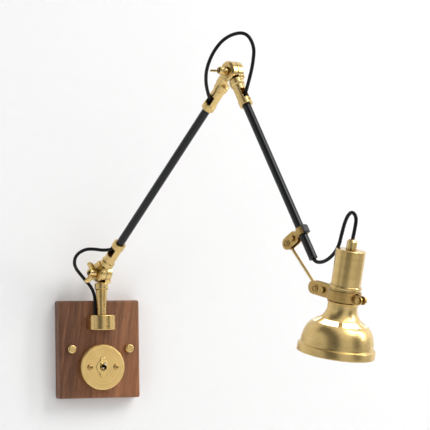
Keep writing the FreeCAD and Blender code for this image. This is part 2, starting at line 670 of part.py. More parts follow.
def cross_fasteners(name, frame, x, z, face):
    """A hexagon bolt through two cheeks, its head near and its nut far."""
    bolt = Piece(f"{name}_bolt", shifted(frame, x=x, z=z))
    r = S.PinDiameter / 2
    bolt.pad("XZ", [Circle(0, 0, r)], face * 2 + S.HexThick + 1, start=-face - S.HexThick - 1)
    bolt.pad("XZ", [hexagon(S.HexAcross)], S.HexThick, start=face)
    nut = Piece(f"{name}_nut", shifted(frame, x=x, z=z))
    nut.pad("XZ", [hexagon(S.HexAcross)], S.HexThick, start=-face - S.HexThick)
    nut.cut("XZ", [Circle(0, 0, r + S.RunningFit)], S.HexThick + 2, start=-face + 1)
    return bolt, nut


def cross_pin(label, frame, x, z, face):
    """A headed pin through two cheeks with a ring-faced head near and a riveted end far."""
    r = S.PinDiameter / 2
    head = S.PinHeadDiameter / 2
    thick = S.PinHeadThick
    pin = Piece(label, shifted(frame, x=x, z=z))
    pin.turn([(0, -face - thick + 0.6), (head * 0.5, -face - thick + 0.6), (head * 0.6, -face - thick),
              (head - 0.4, -face - thick), (head, -face - thick + 0.4), (head, -face), (r, -face),
              (r, face), (r + 0.8, face), (r + 0.4, face + 1), (0, face + 1)], plane="XY")


def rod():
    length = S.RodLength
    eye = S.EyeDiameter / 2
    half = S.EyeThick / 2
    hole = S.PinDiameter / 2 + S.RunningFit
    piece = Piece("link_rod", ROD)
    piece.turn([(hole, -half), (eye, -half), (eye, half), (hole, half)], plane="XY")
    piece.pad("XY", [Circle(0, 0, S.RodDiameter / 2)], length - 2 * eye + 1, start=eye - 0.5)
    piece.pad("XZ", [Circle(0, length, eye)], S.EyeThick, start=-half)
    piece.cut("XZ", [Circle(0, length, hole)], S.EyeThick + 2, start=half + 1)


# ---- head ---------------------------------------------------------------------------------------
def shade_outline():
    """The shade's outer outline from rim to neck, as (radius, height)."""
    rim = S.RimRadius
    skirt = S.SkirtRadius
    step = S.StepRadius
    neck = S.NeckRadius
    top = S.SkirtTop
    bead = S.NeckBeadZ
    half = S.NeckBeadHalf
    return [(rim, 0), (rim - 0.4, top), (skirt, top + 2), (step, top + 12), (step * 0.914, top + 23),
            (step * 0.83, top + 28), (step * 0.715, top + 31.5), (neck * 1.318, S.NeckStart - 11.5),
            (neck * 1.1, S.NeckStart - 6), (neck, S.NeckStart), (neck, bead - half),
            (neck + S.NeckBeadOut, bead - half * 0.4), (neck + S.NeckBeadOut, bead + half * 0.4),
            (neck, bead + half), (neck, S.NeckTop)]


def shade():
    wall = S.ShadeWall
    outer = shade_outline()
    inner = [(r - wall * (1.0 if i < 4 or i > 8 else 1.4), z) for i, (r, z) in enumerate(outer)]
    piece = Piece("shade", HEAD)
    piece.turn(outer + inner[::-1])
    low = S.VentLow
    high = S.VentHigh
    profile = piece.sketch("XZ", [[(S.NeckRadius + 2, low), (S.StepRadius, low), (S.StepRadius, high),
                                   (S.NeckRadius + 2, high)]])
    slot = piece.feature("Groove", profile, ReferenceAxis=(profile, ["V_Axis"]), Angle=S.VentAngle,
                         Midplane=True)
    pattern = piece.body.newObject("PartDesign::PolarPattern", "Vents")
    pattern.Originals = [slot]
    pattern.Axis = (profile, ["V_Axis"])
    pattern.Angle = 360
    pattern.Occurrences = int(v(S.VentCount))
    pattern.setExpression("Occurrences", "Sizes.VentCount")
    piece.body.Tip = pattern
    piece.body.Placement = shifted(HEAD, turn=Rotation(UP, v(S.VentTurn)))


def cap():
    r = S.CapRadius
    wall = S.CapWall
    low = S.NeckTop
    top = S.CapTop
    bead = S.CapBeadRadius
    piece = Piece("cap", HEAD)
    gland_hole = S.GlandRadius - 1.5 + S.RunningFit
    piece.turn([(r - wall, low), (bead - 0.5, low), (bead, low + 1), (bead, low + 3), (bead - 0.5, low + 4),
                (r, low + 4), (r, top - 1), (r - 1, top), (gland_hole, top), (gland_hole, top - wall),
                (r - wall, top - wall)])
    gland = Piece("gland", HEAD)
    g = S.GlandRadius
    cable = S.CableDiameter / 2 + S.RunningFit
    end = S.GlandTop
    gland.turn([(cable, top - 6), (gland_hole - 0.05, top - 6), (gland_hole - 0.05, top), (g, top),
                (g, end - 3), (g - 2.6, end), (cable, end)])
    holder = Piece("lamp_holder", HEAD)
    h = S.HolderRadius
    holder.turn([(13.5, S.HolderLow), (h, S.HolderLow), (h, S.NeckTop), (r - wall - 0.2, S.NeckTop),
                 (r - wall - 0.2, S.NeckTop + 4), (h, S.NeckTop + 4), (h, S.HolderHigh),
                 (0, S.HolderHigh), (0, S.HolderHigh - 20), (13.5, S.HolderHigh - 20)])
    bulb = Piece("bulb", HEAD)
    b = S.BulbRadius
    c = S.BulbCentreZ
    bulb.turn([(0, c - b), (b * 0.5, c - b * 0.866), (b * 0.866, c - b * 0.5), (b, c),
               (b * 0.866, c + b * 0.5), (b * 0.6, c + b * 0.95), (13.2, c + b * 1.25),
               (13.2, S.HolderHigh - 21), (0, S.HolderHigh - 21)])


def collar():
    """Two half bands round the neck, joined by ears on one side and straps to the rod on the other."""
    inner = S.NeckRadius + S.Seat
    outer = inner + S.CollarWall
    half = S.CollarHeight / 2
    gap = S.CheekGap / 2
    wall = 1.8
    level = S.CollarZ
    strap = S.StrapHeight / 2
    ear = S.EarEndX - S.EarBoltX
    for label, near_side in (("collar_near", True), ("collar_far", False)):
        side = -1 if near_side else 1
        piece = Piece(label, HEAD)
        piece.turn([(inner, level - half), (outer, level - half), (outer, level + half),
                    (inner, level + half)])
        edge = side * gap
        away = -side * (outer + 1)
        piece.cut("XY", [[(-outer - 1, edge), (outer + 1, edge), (outer + 1, away), (-outer - 1, away)]],
                  level + half + 1, start=level + half + 1)
        start = gap if near_side else -gap - wall
        piece.pad("XZ", [Obround(S.HeadPinX - 4, -inner - 1, level, strap)], wall, start=start)
        piece.pad("XZ", [Obround(inner + 1, S.EarBoltX, level, ear)], wall, start=start)
        holes = [Circle(x, z, S.PinDiameter / 2 + S.RunningFit)
                 for x, z in ((S.HeadPinX, S.HeadPinZ), (S.StrapBoltX, level), (S.EarBoltX, level))]
        piece.cut("XZ", holes, outer * 2, start=outer)
        piece.cut("XY", [Circle(0, 0, inner)], level * 2, start=level * 2)
    face = gap + wall
    fasteners = [cross_fasteners(name, HEAD, x, level, face)
                 for name, x in (("strap", S.StrapBoltX), ("ear", S.EarBoltX))]
    grouped("collar_bolts", [bolt for bolt, nut in fasteners])
    grouped("collar_nuts", [nut for bolt, nut in fasteners])
    cross_pin("head_pin", HEAD, S.HeadPinX, S.HeadPinZ, face)


# ---- cable --------------------------------------------------------------------------------------
CABLE_POINTS = {
    "cable_rise": [(-7, -26.5, 42), (-7, -26.5, 60), (-8.6, -24.9, 84.8), (-18.2, -28.5, 94.3)],
    "cable_base_loop": [(-18.2, -28.5, 94.3), (-27.5, -32, 103.5), (-43.2, -40.5, 119.5),
                        (-41.9, -45.5, 134.5), (-29.5, -51, 142.9), (-17.5, -57.2, 142.9),
                        (-5.05, -61.6, 140.6), (4.3, -64.9, 141.8)],
    "cable_elbow_loop": [(85.1, -265, 339.9), (79.6, -274, 345.7), (72.3, -285.5, 359.5),
                         (69.2, -298, 377.5), (76.5, -309, 401), (90, -322.5, 418.5),
                         (109.5, -341.5, 423), (120, -346.5, 404), (120.2, -341.5, 383),
                         (118.6, -331, 361), (116.4, -321.1, 343.7)],
    "cable_fold": [(163.2, -437.0, 116.2), (164.5, -440.3, 110.2), (172.5, -460, 112),
                   (180.3, -479.5, 127), (181.8, -483.3, 138.5)],
    "cable_head_loop": [(181.8, -483.3, 138.5), (183.3, -487, 150), (186.2, -494.3, 167),
                        (190, -503, 174.5), (193.2, -510.8, 167), (192, -507.8, 152),
                        (190.1, -503.6, 138.2)],
    "cable_in_lower_arm": [(13.65, -68.2, 143.0), (90.36, -256.4, 334.36)],
    "cable_in_forearm": [(115.38, -316.51, 335.68)],
}


# where the joints were when these points were drawn
ELBOW_DRAWN = (106.2223, -295.9094, 373.9588)
TUBE_END_DRAWN = (163.2475, -437.0518, 116.1463)
RIM_DRAWN = (177.3195, -471.8811, -7.7667)


def carried(points, now, drawn):
    """The points moved along with a place that was elsewhere when they were drawn."""
    return [Vector(*point) + now - Vector(*drawn) for point in points]


def cable_routes():
    """Every stretch of cable as its points, carried by the joint that it hangs on."""
    elbow = shifted(FOREARM).Base
    tube_end = shifted(FOREARM, z=S.ForearmLength).Base
    rim = HEAD.Base
    routes = {label: [Vector(*point) for point in points] for label, points in CABLE_POINTS.items()}
    routes["cable_elbow_loop"] = carried(CABLE_POINTS["cable_elbow_loop"], elbow, ELBOW_DRAWN)
    fold = CABLE_POINTS["cable_fold"]
    routes["cable_fold"] = carried(fold[:2], tube_end, TUBE_END_DRAWN) + carried(fold[2:], rim, RIM_DRAWN)
    routes["cable_head_loop"] = carried(CABLE_POINTS["cable_head_loop"], rim, RIM_DRAWN)
    first, last = CABLE_POINTS["cable_in_lower_arm"]
    routes["cable_in_lower_arm"] = [routes["cable_base_loop"][-1], Vector(*first),
                                    *carried([last], elbow, ELBOW_DRAWN), routes["cable_elbow_loop"][0]]
    routes["cable_in_forearm"] = [routes["cable_elbow_loop"][-1],
                                  *carried(CABLE_POINTS["cable_in_forearm"], elbow, ELBOW_DRAWN),
                                  routes["cable_fold"][0]]
    return routes


def route(points):
    """Straight runs joined by tangent arcs, each as large as its two runs allow."""
    points = [points[0] + (points[1] - points[0]).normalize() * v(S.CableGap), *points[1:]]
    edges = []
    radii = []
    start = points[0]
    for before, corner, after in zip(points, points[1:], points[2:]):
        back = (before - corner).normalize()
        ahead = (after - corner).normalize()
        half_turn = (math.pi - back.getAngle(ahead)) / 2
        reach = 0.45 * min((before - corner).Length, (after - corner).Length)
        radius = reach / math.tan(half_turn)
        enter = corner + back * reach
        leave = corner + ahead * reach
        middle_way = (back + ahead).normalize()
        middle = corner + middle_way * (radius / math.cos(half_turn) - radius)
        edges.append(Part.LineSegment(start, enter).toShape())
        edges.append(Part.Arc(enter, middle, leave).toShape())
        radii.append(radius)
        start = leave
    edges.append(Part.LineSegment(start, points[-1]).toShape())
    return Part.Wire(edges), radii


def cable(label, points):
    wire, radii = route(points)
    first = points[1] - points[0]
    r = v(S.CableDiameter) / 2
    section = Part.Wire([Part.makeCircle(r, wire.Edges[0].Vertexes[0].Point, first)])
    solid = wire.makePipeShell([section], True, False)
    piece = doc.addObject("Part::Feature", label)
    piece.Label = label
    piece.Shape = solid
    share = solid.Volume / (math.pi * r * r * wire.Length)
    rounded = [round(radius, 1) for radius in radii]
    print(f"{label}: length {wire.Length:.1f}, radii {rounded}, volume share {share:.4f}")
    return piece


def build():
    backboard()
    bracket()
    rosette()
    boss()
    stem()
    lower_arm()
    wing = Rotation(Vector(0, 1, 0), v(S.BaseWingAngle))
    knuckle_bolt("base", in_plane(*BASE_JOINT), in_plane(*BASE_JOINT) * Placement(Vector(), wing), False)
    wing = Rotation(Vector(0, 1, 0), v(S.ElbowWingAngle))
    knuckle_bolt("elbow", in_plane(*ELBOW_JOINT), in_plane(*ELBOW_JOINT) * Placement(Vector(), wing), True)
    forearm()
    clamp()
    rod()
    shade()
    collar()
    cap()
    cables = [cable(label, points) for label, points in cable_routes().items()]
    doc.recompute()
    for obj in doc.Objects:
        if "Invalid" in obj.State or "Error" in obj.State:
            raise RuntimeError(f"{obj.Label} in {obj.FullName} has state {obj.State}")
    parts = [piece.body for piece in Piece.made] + Piece.groups + cables
    os.makedirs("parts", exist_ok=True)
    for part in parts:
        if part.Shape.isNull() or not part.Shape.isValid():
            raise RuntimeError(f"{part.Label} has no valid shape")
        part.Shape.exportStep(f"parts/{part.Label}.step")
    print(len(parts), "sub-parts")
    for name, frame in (("elbow", FOREARM), ("rod pin", ROD), ("rim", HEAD),
                        ("tube end", shifted(FOREARM, z=S.ForearmLength))):
        print(name, [round(c, 4) for c in frame.Base])


build()
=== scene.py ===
"""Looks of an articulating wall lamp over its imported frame, in metres.

The wall is the plane y = 0, +Z is up and the lamp reaches out to -Y.
"""

import json
import math

import bmesh
import bpy
from bpy.props import FloatProperty, FloatVectorProperty, IntProperty, PointerProperty
from mathutils import Matrix, Vector


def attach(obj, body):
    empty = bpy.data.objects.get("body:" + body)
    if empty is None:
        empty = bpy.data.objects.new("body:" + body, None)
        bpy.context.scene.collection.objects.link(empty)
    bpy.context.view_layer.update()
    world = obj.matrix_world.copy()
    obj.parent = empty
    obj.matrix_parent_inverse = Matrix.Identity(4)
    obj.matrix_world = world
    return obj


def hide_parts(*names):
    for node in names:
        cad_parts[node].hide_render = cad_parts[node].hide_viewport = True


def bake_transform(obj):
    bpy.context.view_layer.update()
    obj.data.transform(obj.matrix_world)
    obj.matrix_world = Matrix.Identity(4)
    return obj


bl_info = {
    "name": "Articulating wall lamp",
    "version": (1, 0, 0),
    "blender": (4, 5, 0),
    "location": "View3D > Sidebar > Lamp",
    "description": "Finishes, turned pieces, cables and stage of an articulating wall lamp",
    "category": "Object",
}

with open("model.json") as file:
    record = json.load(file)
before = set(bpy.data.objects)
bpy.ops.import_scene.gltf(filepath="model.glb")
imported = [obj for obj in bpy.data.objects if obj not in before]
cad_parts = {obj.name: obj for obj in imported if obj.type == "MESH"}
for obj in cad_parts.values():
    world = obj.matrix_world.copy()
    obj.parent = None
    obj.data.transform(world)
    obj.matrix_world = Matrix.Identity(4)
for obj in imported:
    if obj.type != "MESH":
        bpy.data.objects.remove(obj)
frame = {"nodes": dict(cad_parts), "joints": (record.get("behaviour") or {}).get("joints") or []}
NODES = frame["nodes"]
JOINTS = {joint["name"]: joint for joint in frame["joints"]}

# ---- the lamp's plane and axes ------------------------------------------------------------------
HEADING = math.radians(22)
UP = Vector((0, 0, 1))
OUT = Vector((0, -1, 0))
ACROSS = Vector((1, 0, 0))
REACH = Vector((math.sin(HEADING), -math.cos(HEADING), 0))
FAR = Vector(JOINTS["base_knuckle"]["axis"])


def leaning(tilt):
    """The direction in the lamp's plane that leans out from upright by tilt degrees."""
    lean = math.radians(tilt)
    return REACH * math.sin(lean) + UP * math.cos(lean)


def frame_at(origin, tilt):
    """A frame in the lamp's plane: Z leans by tilt, Y points to the far side."""
    turn = Matrix((leaning(tilt + 90), FAR, leaning(tilt))).transposed().to_4x4()
    return Matrix.Translation(origin) @ turn


SPINDLE = Vector(JOINTS["base_swivel"]["pos_m"])
BASE_JOINT = Vector(JOINTS["base_knuckle"]["pos_m"])
ELBOW_JOINT = Vector(JOINTS["elbow_knuckle"]["pos_m"])
ROD_JOINT = Vector(JOINTS["rod_pivot"]["pos_m"])
HEAD_JOINT = Vector(JOINTS["head_pivot"]["pos_m"])
LOWER_TILT = 47.05
FOREARM_TILT = 149.44
ROD_TILT = 139.13
HEAD_TILT = 13.22
HEAD_PIN_OUT = 0.0499
HEAD_PIN_HIGH = 0.0757
HEAD_WAY = leaning(HEAD_TILT)
RIM = HEAD_JOINT + leaning(HEAD_TILT + 90) * HEAD_PIN_OUT - HEAD_WAY * HEAD_PIN_HIGH
HEAD = frame_at(RIM, HEAD_TILT)
CAP_NUT_ROW = Vector((0, -0.022, 0.0007))
SWITCH = Vector((0, -0.037, -0.0255))
SWITCH_FRAME = Matrix.Translation(SWITCH) @ Matrix.Rotation(math.radians(90), 4, "X")

# ---- the photograph's view ----------------------------------------------------------------------
VIEW_AZIMUTH = math.radians(-20.0)
VIEW_ELEVATION = math.radians(-2.8)
VIEW_ROLL = math.radians(-0.8)
VIEW_TARGET = Vector((0.187, 0, 0.195))
VIEW_DISTANCE = 3.5
LENS_MM = 198.4
SENSOR_MM = 36.0

# ---- the cable's routes, millimetres ------------------------------------------------------------
CABLE_ROUTES = {
    "cable_rise": [(-7, -26.5, 42), (-7, -26.5, 60), (-8.6, -24.9, 84.8), (-18.2, -28.5, 94.3)],
    "cable_base_loop": [(-18.2, -28.5, 94.3), (-27.5, -32, 103.5), (-43.2, -40.5, 119.5),
                        (-41.9, -45.5, 134.5), (-29.5, -51, 142.9), (-17.5, -57.2, 142.9),
                        (-5.05, -61.6, 140.6), (4.3, -64.9, 141.8)],
    "cable_elbow_loop": [(85.1, -265, 339.9), (79.6, -274, 345.7), (72.3, -285.5, 359.5),
                         (69.2, -298, 377.5), (76.5, -309, 401), (90, -322.5, 418.5),
                         (109.5, -341.5, 423), (120, -346.5, 404), (120.2, -341.5, 383),
                         (118.6, -331, 361), (116.4, -321.1, 343.7)],
    "cable_fold": [(163.2, -437.0, 116.2), (164.5, -440.3, 110.2), (172.5, -460, 112),
                   (180.3, -479.5, 127), (181.8, -483.3, 138.5)],
    "cable_head_loop": [(181.8, -483.3, 138.5), (183.3, -487, 150), (186.2, -494.3, 167),
                        (190, -503, 174.5), (193.2, -510.8, 167), (192, -507.8, 152),
                        (190.1, -503.6, 138.2)],
}
CABLE_STEPS = 12


# ---- settings -----------------------------------------------------------------------------------
def colour_property(name, description, default):
    return FloatVectorProperty(name=name, description=description, subtype="COLOR", size=4, min=0, max=1,
                               default=default)


class LampFinishes(bpy.types.PropertyGroup):
    brass_light: colour_property("Brass, light", "Freshly rubbed brass", (0.80, 0.590, 0.260, 1))
    brass_dark: colour_property("Brass, dark", "Brass where hands have darkened it",
                                (0.52, 0.355, 0.120, 1))
    brass_roughness: FloatProperty(name="Brass roughness", description="Mean roughness of the satin brass",
                                   default=0.27, min=0.05, max=0.9)
    walnut_pale: colour_property("Walnut, pale", "The pale wood between the growth lines",
                                 (0.30, 0.130, 0.060, 1))
    walnut_dark: colour_property("Walnut, dark", "The growth lines", (0.105, 0.040, 0.018, 1))
    enamel: colour_property("Enamel", "The gloss paint on the arm tubes", (0.006, 0.006, 0.0065, 1))
    cable: colour_property("Cable", "The cable's sheath", (0.005, 0.005, 0.0055, 1))
    glow: colour_property("Glow", "The light of the bulb", (1.0, 0.78, 0.42, 1))
    glow_strength: FloatProperty(name="Glow strength", description="How strongly the bulb shines",
                                 default=2.0, min=0, max=100)


class LampSizes(bpy.types.PropertyGroup):
    cable_diameter: FloatProperty(name="Cable diameter", description="Outside diameter of the cable",
                                  default=0.0048, min=0.003, max=0.008, unit="LENGTH")
    shade_wall: FloatProperty(name="Shade wall", description="Thickness of the spun sheet", default=0.0012,
                              min=0.0006, max=0.003, unit="LENGTH")
    vent_count: IntProperty(name="Vents", description="Slots round the shade's shoulder", default=6, min=3,
                            max=12)
    vent_angle: FloatProperty(name="Vent angle", description="How far each slot runs round the shade",
                              default=math.radians(50), subtype="ANGLE")
    screw_spacing: FloatProperty(name="Screw spacing", description="Between the two screws of the switch",
                                 default=0.039, min=0.02, max=0.06, unit="LENGTH")
    nut_spacing: FloatProperty(name="Nut spacing", description="Between the two cap nuts on the board",
                               default=0.086, min=0.03, max=0.11, unit="LENGTH")


class LampStage(bpy.types.PropertyGroup):
    key_power: FloatProperty(name="Key light", description="Power of the large light at the upper right",
                             default=32.0, min=0, unit="POWER")
    fill_power: FloatProperty(name="Fill light", description="Power of the soft light at the left",
                              default=12.0, min=0, unit="POWER")
    rim_power: FloatProperty(name="Rim light", description="Power of the tall narrow light at the right",
                             default=22.0, min=0, unit="POWER")
    room: FloatProperty(name="Room", description="Brightness of the room round the lamp", default=0.68,
                        min=0, max=2)


# ---- shader helpers -----------------------------------------------------------------------------
class Shader:
    """Short ways to add nodes to a material's, a world's or a group's tree."""

    def __init__(self, tree):
        self.tree = tree

    def add(self, kind, inputs=None, **settings):
        node = self.tree.nodes.new(kind)
        for name, value in settings.items():
            setattr(node, name, value)
        for name, value in (inputs or {}).items():
            self.feed(node.inputs[name], value)
        return node

    def feed(self, socket, value):
        if isinstance(value, bpy.types.NodeSocket):
            self.tree.links.new(value, socket)
        elif isinstance(value, bpy.types.Node):
            self.tree.links.new(value.outputs[0], socket)
        else:
            socket.default_value = value

    def math(self, operation, a, b=0.0, c=0.0, clamp=False):
        return self.add("ShaderNodeMath", {0: a, 1: b, 2: c}, operation=operation, use_clamp=clamp)

    def vector(self, operation, a, b=(0, 0, 0)):
        return self.add("ShaderNodeVectorMath", {0: a, 1: b}, operation=operation)

    def scaled(self, a, factor):
        return self.add("ShaderNodeVectorMath", {0: a, "Scale": factor}, operation="SCALE")

    def place(self):
        return self.add("ShaderNodeTexCoord").outputs["Object"]

    def noise(self, place, scale, detail=2.0, roughness=0.5, **settings):
        return self.add("ShaderNodeTexNoise", {"Vector": place, "Scale": scale, "Detail": detail,
                                               "Roughness": roughness}, **settings).outputs["Fac"]

    def mix(self, factor, a, b):
        node = self.add("ShaderNodeMix", data_type="RGBA")
        self.feed(node.inputs[0], factor)
        self.feed(node.inputs[6], a)
        self.feed(node.inputs[7], b)
        return node.outputs[2]

    def range(self, value, low, high, to_low=0.0, to_high=1.0):
        return self.add("ShaderNodeMapRange", {"Value": value, "From Min": low, "From Max": high,
                                               "To Min": to_low, "To Max": to_high})

    def bump(self, height, strength, distance):
        return self.add("ShaderNodeBump", {"Height": height, "Strength": strength, "Distance": distance})

    def grouped(self, name, **values):
        """A shader node group put to use with its own values."""
        node = self.add("ShaderNodeGroup", node_tree=bpy.data.node_groups[name])
        for label, value in values.items():
            self.feed(node.inputs[label.replace("_", " ").capitalize()], value)
        return node


def shader_group(name, inputs, outputs):
    tree = bpy.data.node_groups.new(name, "ShaderNodeTree")
    for label, kind in inputs.items():
        tree.interface.new_socket(label, in_out="INPUT", socket_type="NodeSocket" + kind)
    for label, kind in outputs.items():
        tree.interface.new_socket(label, in_out="OUTPUT", socket_type="NodeSocket" + kind)
    return Shader(tree), tree.nodes.new("NodeGroupInput").outputs, tree.nodes.new("NodeGroupOutput").inputs


def make_turned_lines():
    """Fine lathe lines about an axis, and whether a face looks away from that axis."""
    shader, given, result = shader_group(
        "Turned lines", {"Origin": "Vector", "Axis": "Vector", "Fineness": "Float"},
        {"Streak": "Float", "Outward": "Float"})
    local = shader.vector("SUBTRACT", shader.place(), given["Origin"])
    along = shader.vector("DOT_PRODUCT", local, given["Axis"]).outputs["Value"]
    across = shader.vector("SUBTRACT", local, shader.scaled(given["Axis"], along))
    radius = shader.vector("LENGTH", across).outputs["Value"]
    pair = shader.add("ShaderNodeCombineXYZ", {"X": along, "Y": shader.math("MULTIPLY", radius, 0.25)})
    streak = shader.noise(shader.scaled(pair, given["Fineness"]), 1.0, 3.0, 0.7, noise_dimensions="2D")
    facing = shader.add("ShaderNodeNewGeometry").outputs["True Normal"]
    turned = shader.add("ShaderNodeVectorTransform", {"Vector": facing}, vector_type="NORMAL",
                        convert_from="WORLD", convert_to="OBJECT")
    away = shader.vector("DOT_PRODUCT", shader.vector("NORMALIZE", across), turned)
    shader.feed(result["Streak"], streak)
    shader.feed(result["Outward"], away.outputs["Value"])


def make_patina():
    """Slow blotches and fine specks of handling."""
    shader, given, result = shader_group("Patina", {"Scale": "Float"},
                                         {"Blotch": "Float", "Speck": "Float"})
    place = shader.place()
    fine = shader.math("MULTIPLY", given["Scale"], 14.0)
    shader.feed(result["Blotch"], shader.noise(place, given["Scale"], 4.0, 0.55))
    shader.feed(result["Speck"], shader.noise(place, fine, 3.0, 0.65))


def make_edge_wear():
    """A mask along the edges, broken up by a noise, where handling has rubbed the metal bright."""
    shader, given, result = shader_group("Edge wear", {"Width": "Float", "Specks": "Float"},
                                         {"Mask": "Float", "Normal": "Vector"})
    soft = shader.add("ShaderNodeBevel", {"Radius": given["Width"]}, samples=6)
    facing = shader.add("ShaderNodeNewGeometry").outputs["Normal"]
    likeness = shader.vector("DOT_PRODUCT", soft, facing).outputs["Value"]
    edge = shader.range(likeness, 0.995, 0.86)
    broken = shader.noise(shader.place(), given["Specks"], 4.0, 0.7)
    mask = shader.math("MULTIPLY", edge, shader.range(broken, 0.3, 0.6), clamp=True)
    shader.feed(result["Mask"], mask)
    shader.feed(result["Normal"], soft)


def make_painted_crease_shade():
    """A mask of the creases and recesses, from ambient occlusion, where shade is painted into the colour.
    """
    shader, given, result = shader_group("Painted crease shade", {"Reach": "Float"}, {"Mask": "Float"})
    open_share = shader.add("ShaderNodeAmbientOcclusion", {"Distance": given["Reach"]}, samples=8)
    mask = shader.range(open_share.outputs["AO"], 0.82, 0.3)
    shader.feed(result["Mask"], mask)


def new_material(name):
    made = bpy.data.materials.new(name)
    made.use_nodes = True
    return made, Shader(made.node_tree), made.node_tree.nodes["Principled BSDF"]


LATHE_LINE_DEPTH = 0.000012
PLAIN_TINT = (1.0, 1.0, 1.0)
BRONZE_TINT = (0.74, 0.68, 0.58)
SHADED_TINT = (0.45, 0.38, 0.30)
STEM_TINT = (1.08, 1.06, 1.06)
# painted light: the rosette's brass is made lighter than the other brass
ROSETTE_PAINTED_LIGHT_TINT = (1.19, 1.17, 1.14)
PLATE_TINT = (1.2, 1.2, 1.15)


def tinted(colour, tint):
    return tuple(min(1.0, a * b) for a, b in zip(colour, tint)) + (1,)


def brass_surface(name, origin, axis, roughness=None, fineness=2400.0, lines=0.35, edge=0.0006,
                  tint=PLAIN_TINT):
    """Brass turned about an axis, with lathe lines, worn edges, a slight patina and painted shade in its
    creases.

    Gives the material, its helper, its surface node and the outputs of its turned lines.
    """
    finishes = bpy.context.scene.lamp_finishes
    roughness = roughness or finishes.brass_roughness
    made, shader, surface = new_material(name)
    turned = shader.grouped("Turned lines", origin=origin, axis=axis, fineness=fineness).outputs
    patina = shader.grouped("Patina", scale=28.0).outputs
    worn = shader.grouped("Edge wear", width=edge, specks=900.0).outputs
    tone = shader.math("MULTIPLY_ADD", turned["Streak"], 0.5, 0.06)
    tone = shader.math("MULTIPLY_ADD", patina["Blotch"], 0.35, tone)
    light = tinted(finishes.brass_light, tint)
    dark = tinted(finishes.brass_dark, tint)
    body = shader.mix(shader.range(tone, 0.36, 0.68), light, dark)
    rubbed = tinted(light, (1.15, 1.15, 1.15))
    # painted shade: the ambient occlusion mask darkens creases and recesses almost to black
    crease_shade = shader.grouped("Painted crease shade", reach=0.0045).outputs["Mask"]
    crease_shaded = shader.mix(shader.math("MULTIPLY", crease_shade, 0.95), body, tinted(dark, (0.2, 0.15, 0.1)))
    shader.feed(surface.inputs["Base Color"], shader.mix(worn["Mask"], crease_shaded, rubbed))
    surface.inputs["Metallic"].default_value = 1.0
    rough = shader.math("MULTIPLY_ADD", turned["Streak"], 0.16, roughness - 0.08)
    rough = shader.math("MULTIPLY_ADD", patina["Speck"], 0.12, shader.math("SUBTRACT", rough, 0.06))
    shader.feed(surface.inputs["Roughness"], rough)
    bump = shader.bump(turned["Streak"], lines, LATHE_LINE_DEPTH)
    shader.feed(bump.inputs["Normal"], worn["Normal"])
    shader.feed(surface.inputs["Normal"], bump)
    return made, shader, surface, turned


def brass(name, origin, axis, roughness=None, **finish):
    """A brass material for a piece that needs nothing further."""
    return brass_surface(name, origin, axis, roughness, **finish)[0]


def walnut():
    """Straight-grained walnut: growth lines, fibres and open pores, all slightly leaning, with painted
    light that makes the board lighter towards the right and lighter and warmer towards the lower right.
    """
    finishes = bpy.context.scene.lamp_finishes
    made, shader, surface = new_material("Oiled walnut")
    place = shader.place()
    sway = shader.noise(shader.add("ShaderNodeMapping", {"Vector": place, "Scale": (20, 20, 6)}), 1.0, 2.0)
    swayed = shader.add("ShaderNodeCombineXYZ", {"X": shader.range(sway, 0.0, 1.0, -0.004, 0.004)})
    leaned = shader.add("ShaderNodeMapping", {"Vector": shader.vector("ADD", place, swayed),
                                              "Rotation": (0, math.radians(-7), 0)})
    growth = shader.noise(shader.vector("MULTIPLY", leaned, (95, 60, 3.5)), 1.0, 5.0, 0.55)
    fibre = shader.noise(shader.vector("MULTIPLY", leaned, (1100, 900, 30)), 1.0, 4.0, 0.6)
    pores = shader.noise(shader.vector("MULTIPLY", leaned, (2100, 1700, 95)), 1.0, 2.0, 0.5)
    # painted light: the tone runs from darker at the board's left to lighter at its right
    sweep = shader.range(shader.add("ShaderNodeSeparateXYZ", {0: place}), -0.06, 0.06, 0.12, -0.10)
    tone = shader.math("MULTIPLY_ADD", fibre, 0.9, -0.45)
    tone = shader.math("ADD", shader.math("ADD", growth, tone), sweep)
    colour = shader.mix(shader.range(tone, 0.28, 0.72), finishes.walnut_pale, finishes.walnut_dark)
    # painted light: a lighter, warmer walnut is mixed in towards the lower right
    corner = shader.add("ShaderNodeSeparateXYZ", {0: place}).outputs
    warm_light_slope = shader.math("SUBTRACT", corner["X"], corner["Z"])
    warm_light_share = shader.math("MULTIPLY", shader.range(warm_light_slope, -0.01, 0.12), 0.55)
    colour = shader.mix(warm_light_share, colour, shader.mix(shader.range(tone, 0.3, 0.7), (0.42, 0.165, 0.06, 1),
                                                       (0.17, 0.06, 0.022, 1)))
    pit = shader.range(pores, 0.36, 0.28)
    deep = tuple(0.35 * c for c in finishes.walnut_dark[:3]) + (1,)
    shader.feed(surface.inputs["Base Color"],
                shader.mix(shader.math("MULTIPLY", pit, 0.75), colour, deep))
    rough = shader.math("MULTIPLY_ADD", fibre, 0.3, 0.33)
    shader.feed(surface.inputs["Roughness"], rough)
    surface.inputs["Specular IOR Level"].default_value = 0.4
    height = shader.math("MULTIPLY_ADD", pit, -0.8, fibre)
    bump = shader.bump(height, 0.35, 0.00035)
    soft = shader.add("ShaderNodeBevel", {"Radius": 0.0008}, samples=4)
    shader.feed(bump.inputs["Normal"], soft)
    shader.feed(surface.inputs["Normal"], bump)
    return made


def enamel():
    """Gloss black paint with a faint orange peel and a few dust specks."""
    made, shader, surface = new_material("Gloss black enamel")
    place = shader.place()
    dust = shader.range(shader.noise(place, 1500.0, 2.0, 0.6), 0.66, 0.74)
    enamel_colour = bpy.context.scene.lamp_finishes.enamel
    shader.feed(surface.inputs["Base Color"], shader.mix(dust, enamel_colour, (0.03, 0.03, 0.03, 1)))
    shader.feed(surface.inputs["Roughness"], shader.math("MULTIPLY_ADD", dust, 0.2, 0.16))
    surface.inputs["Specular IOR Level"].default_value = 0.35
    shader.feed(surface.inputs["Normal"], shader.bump(shader.noise(place, 240.0, 2.0), 0.05, 0.0003))
    return made


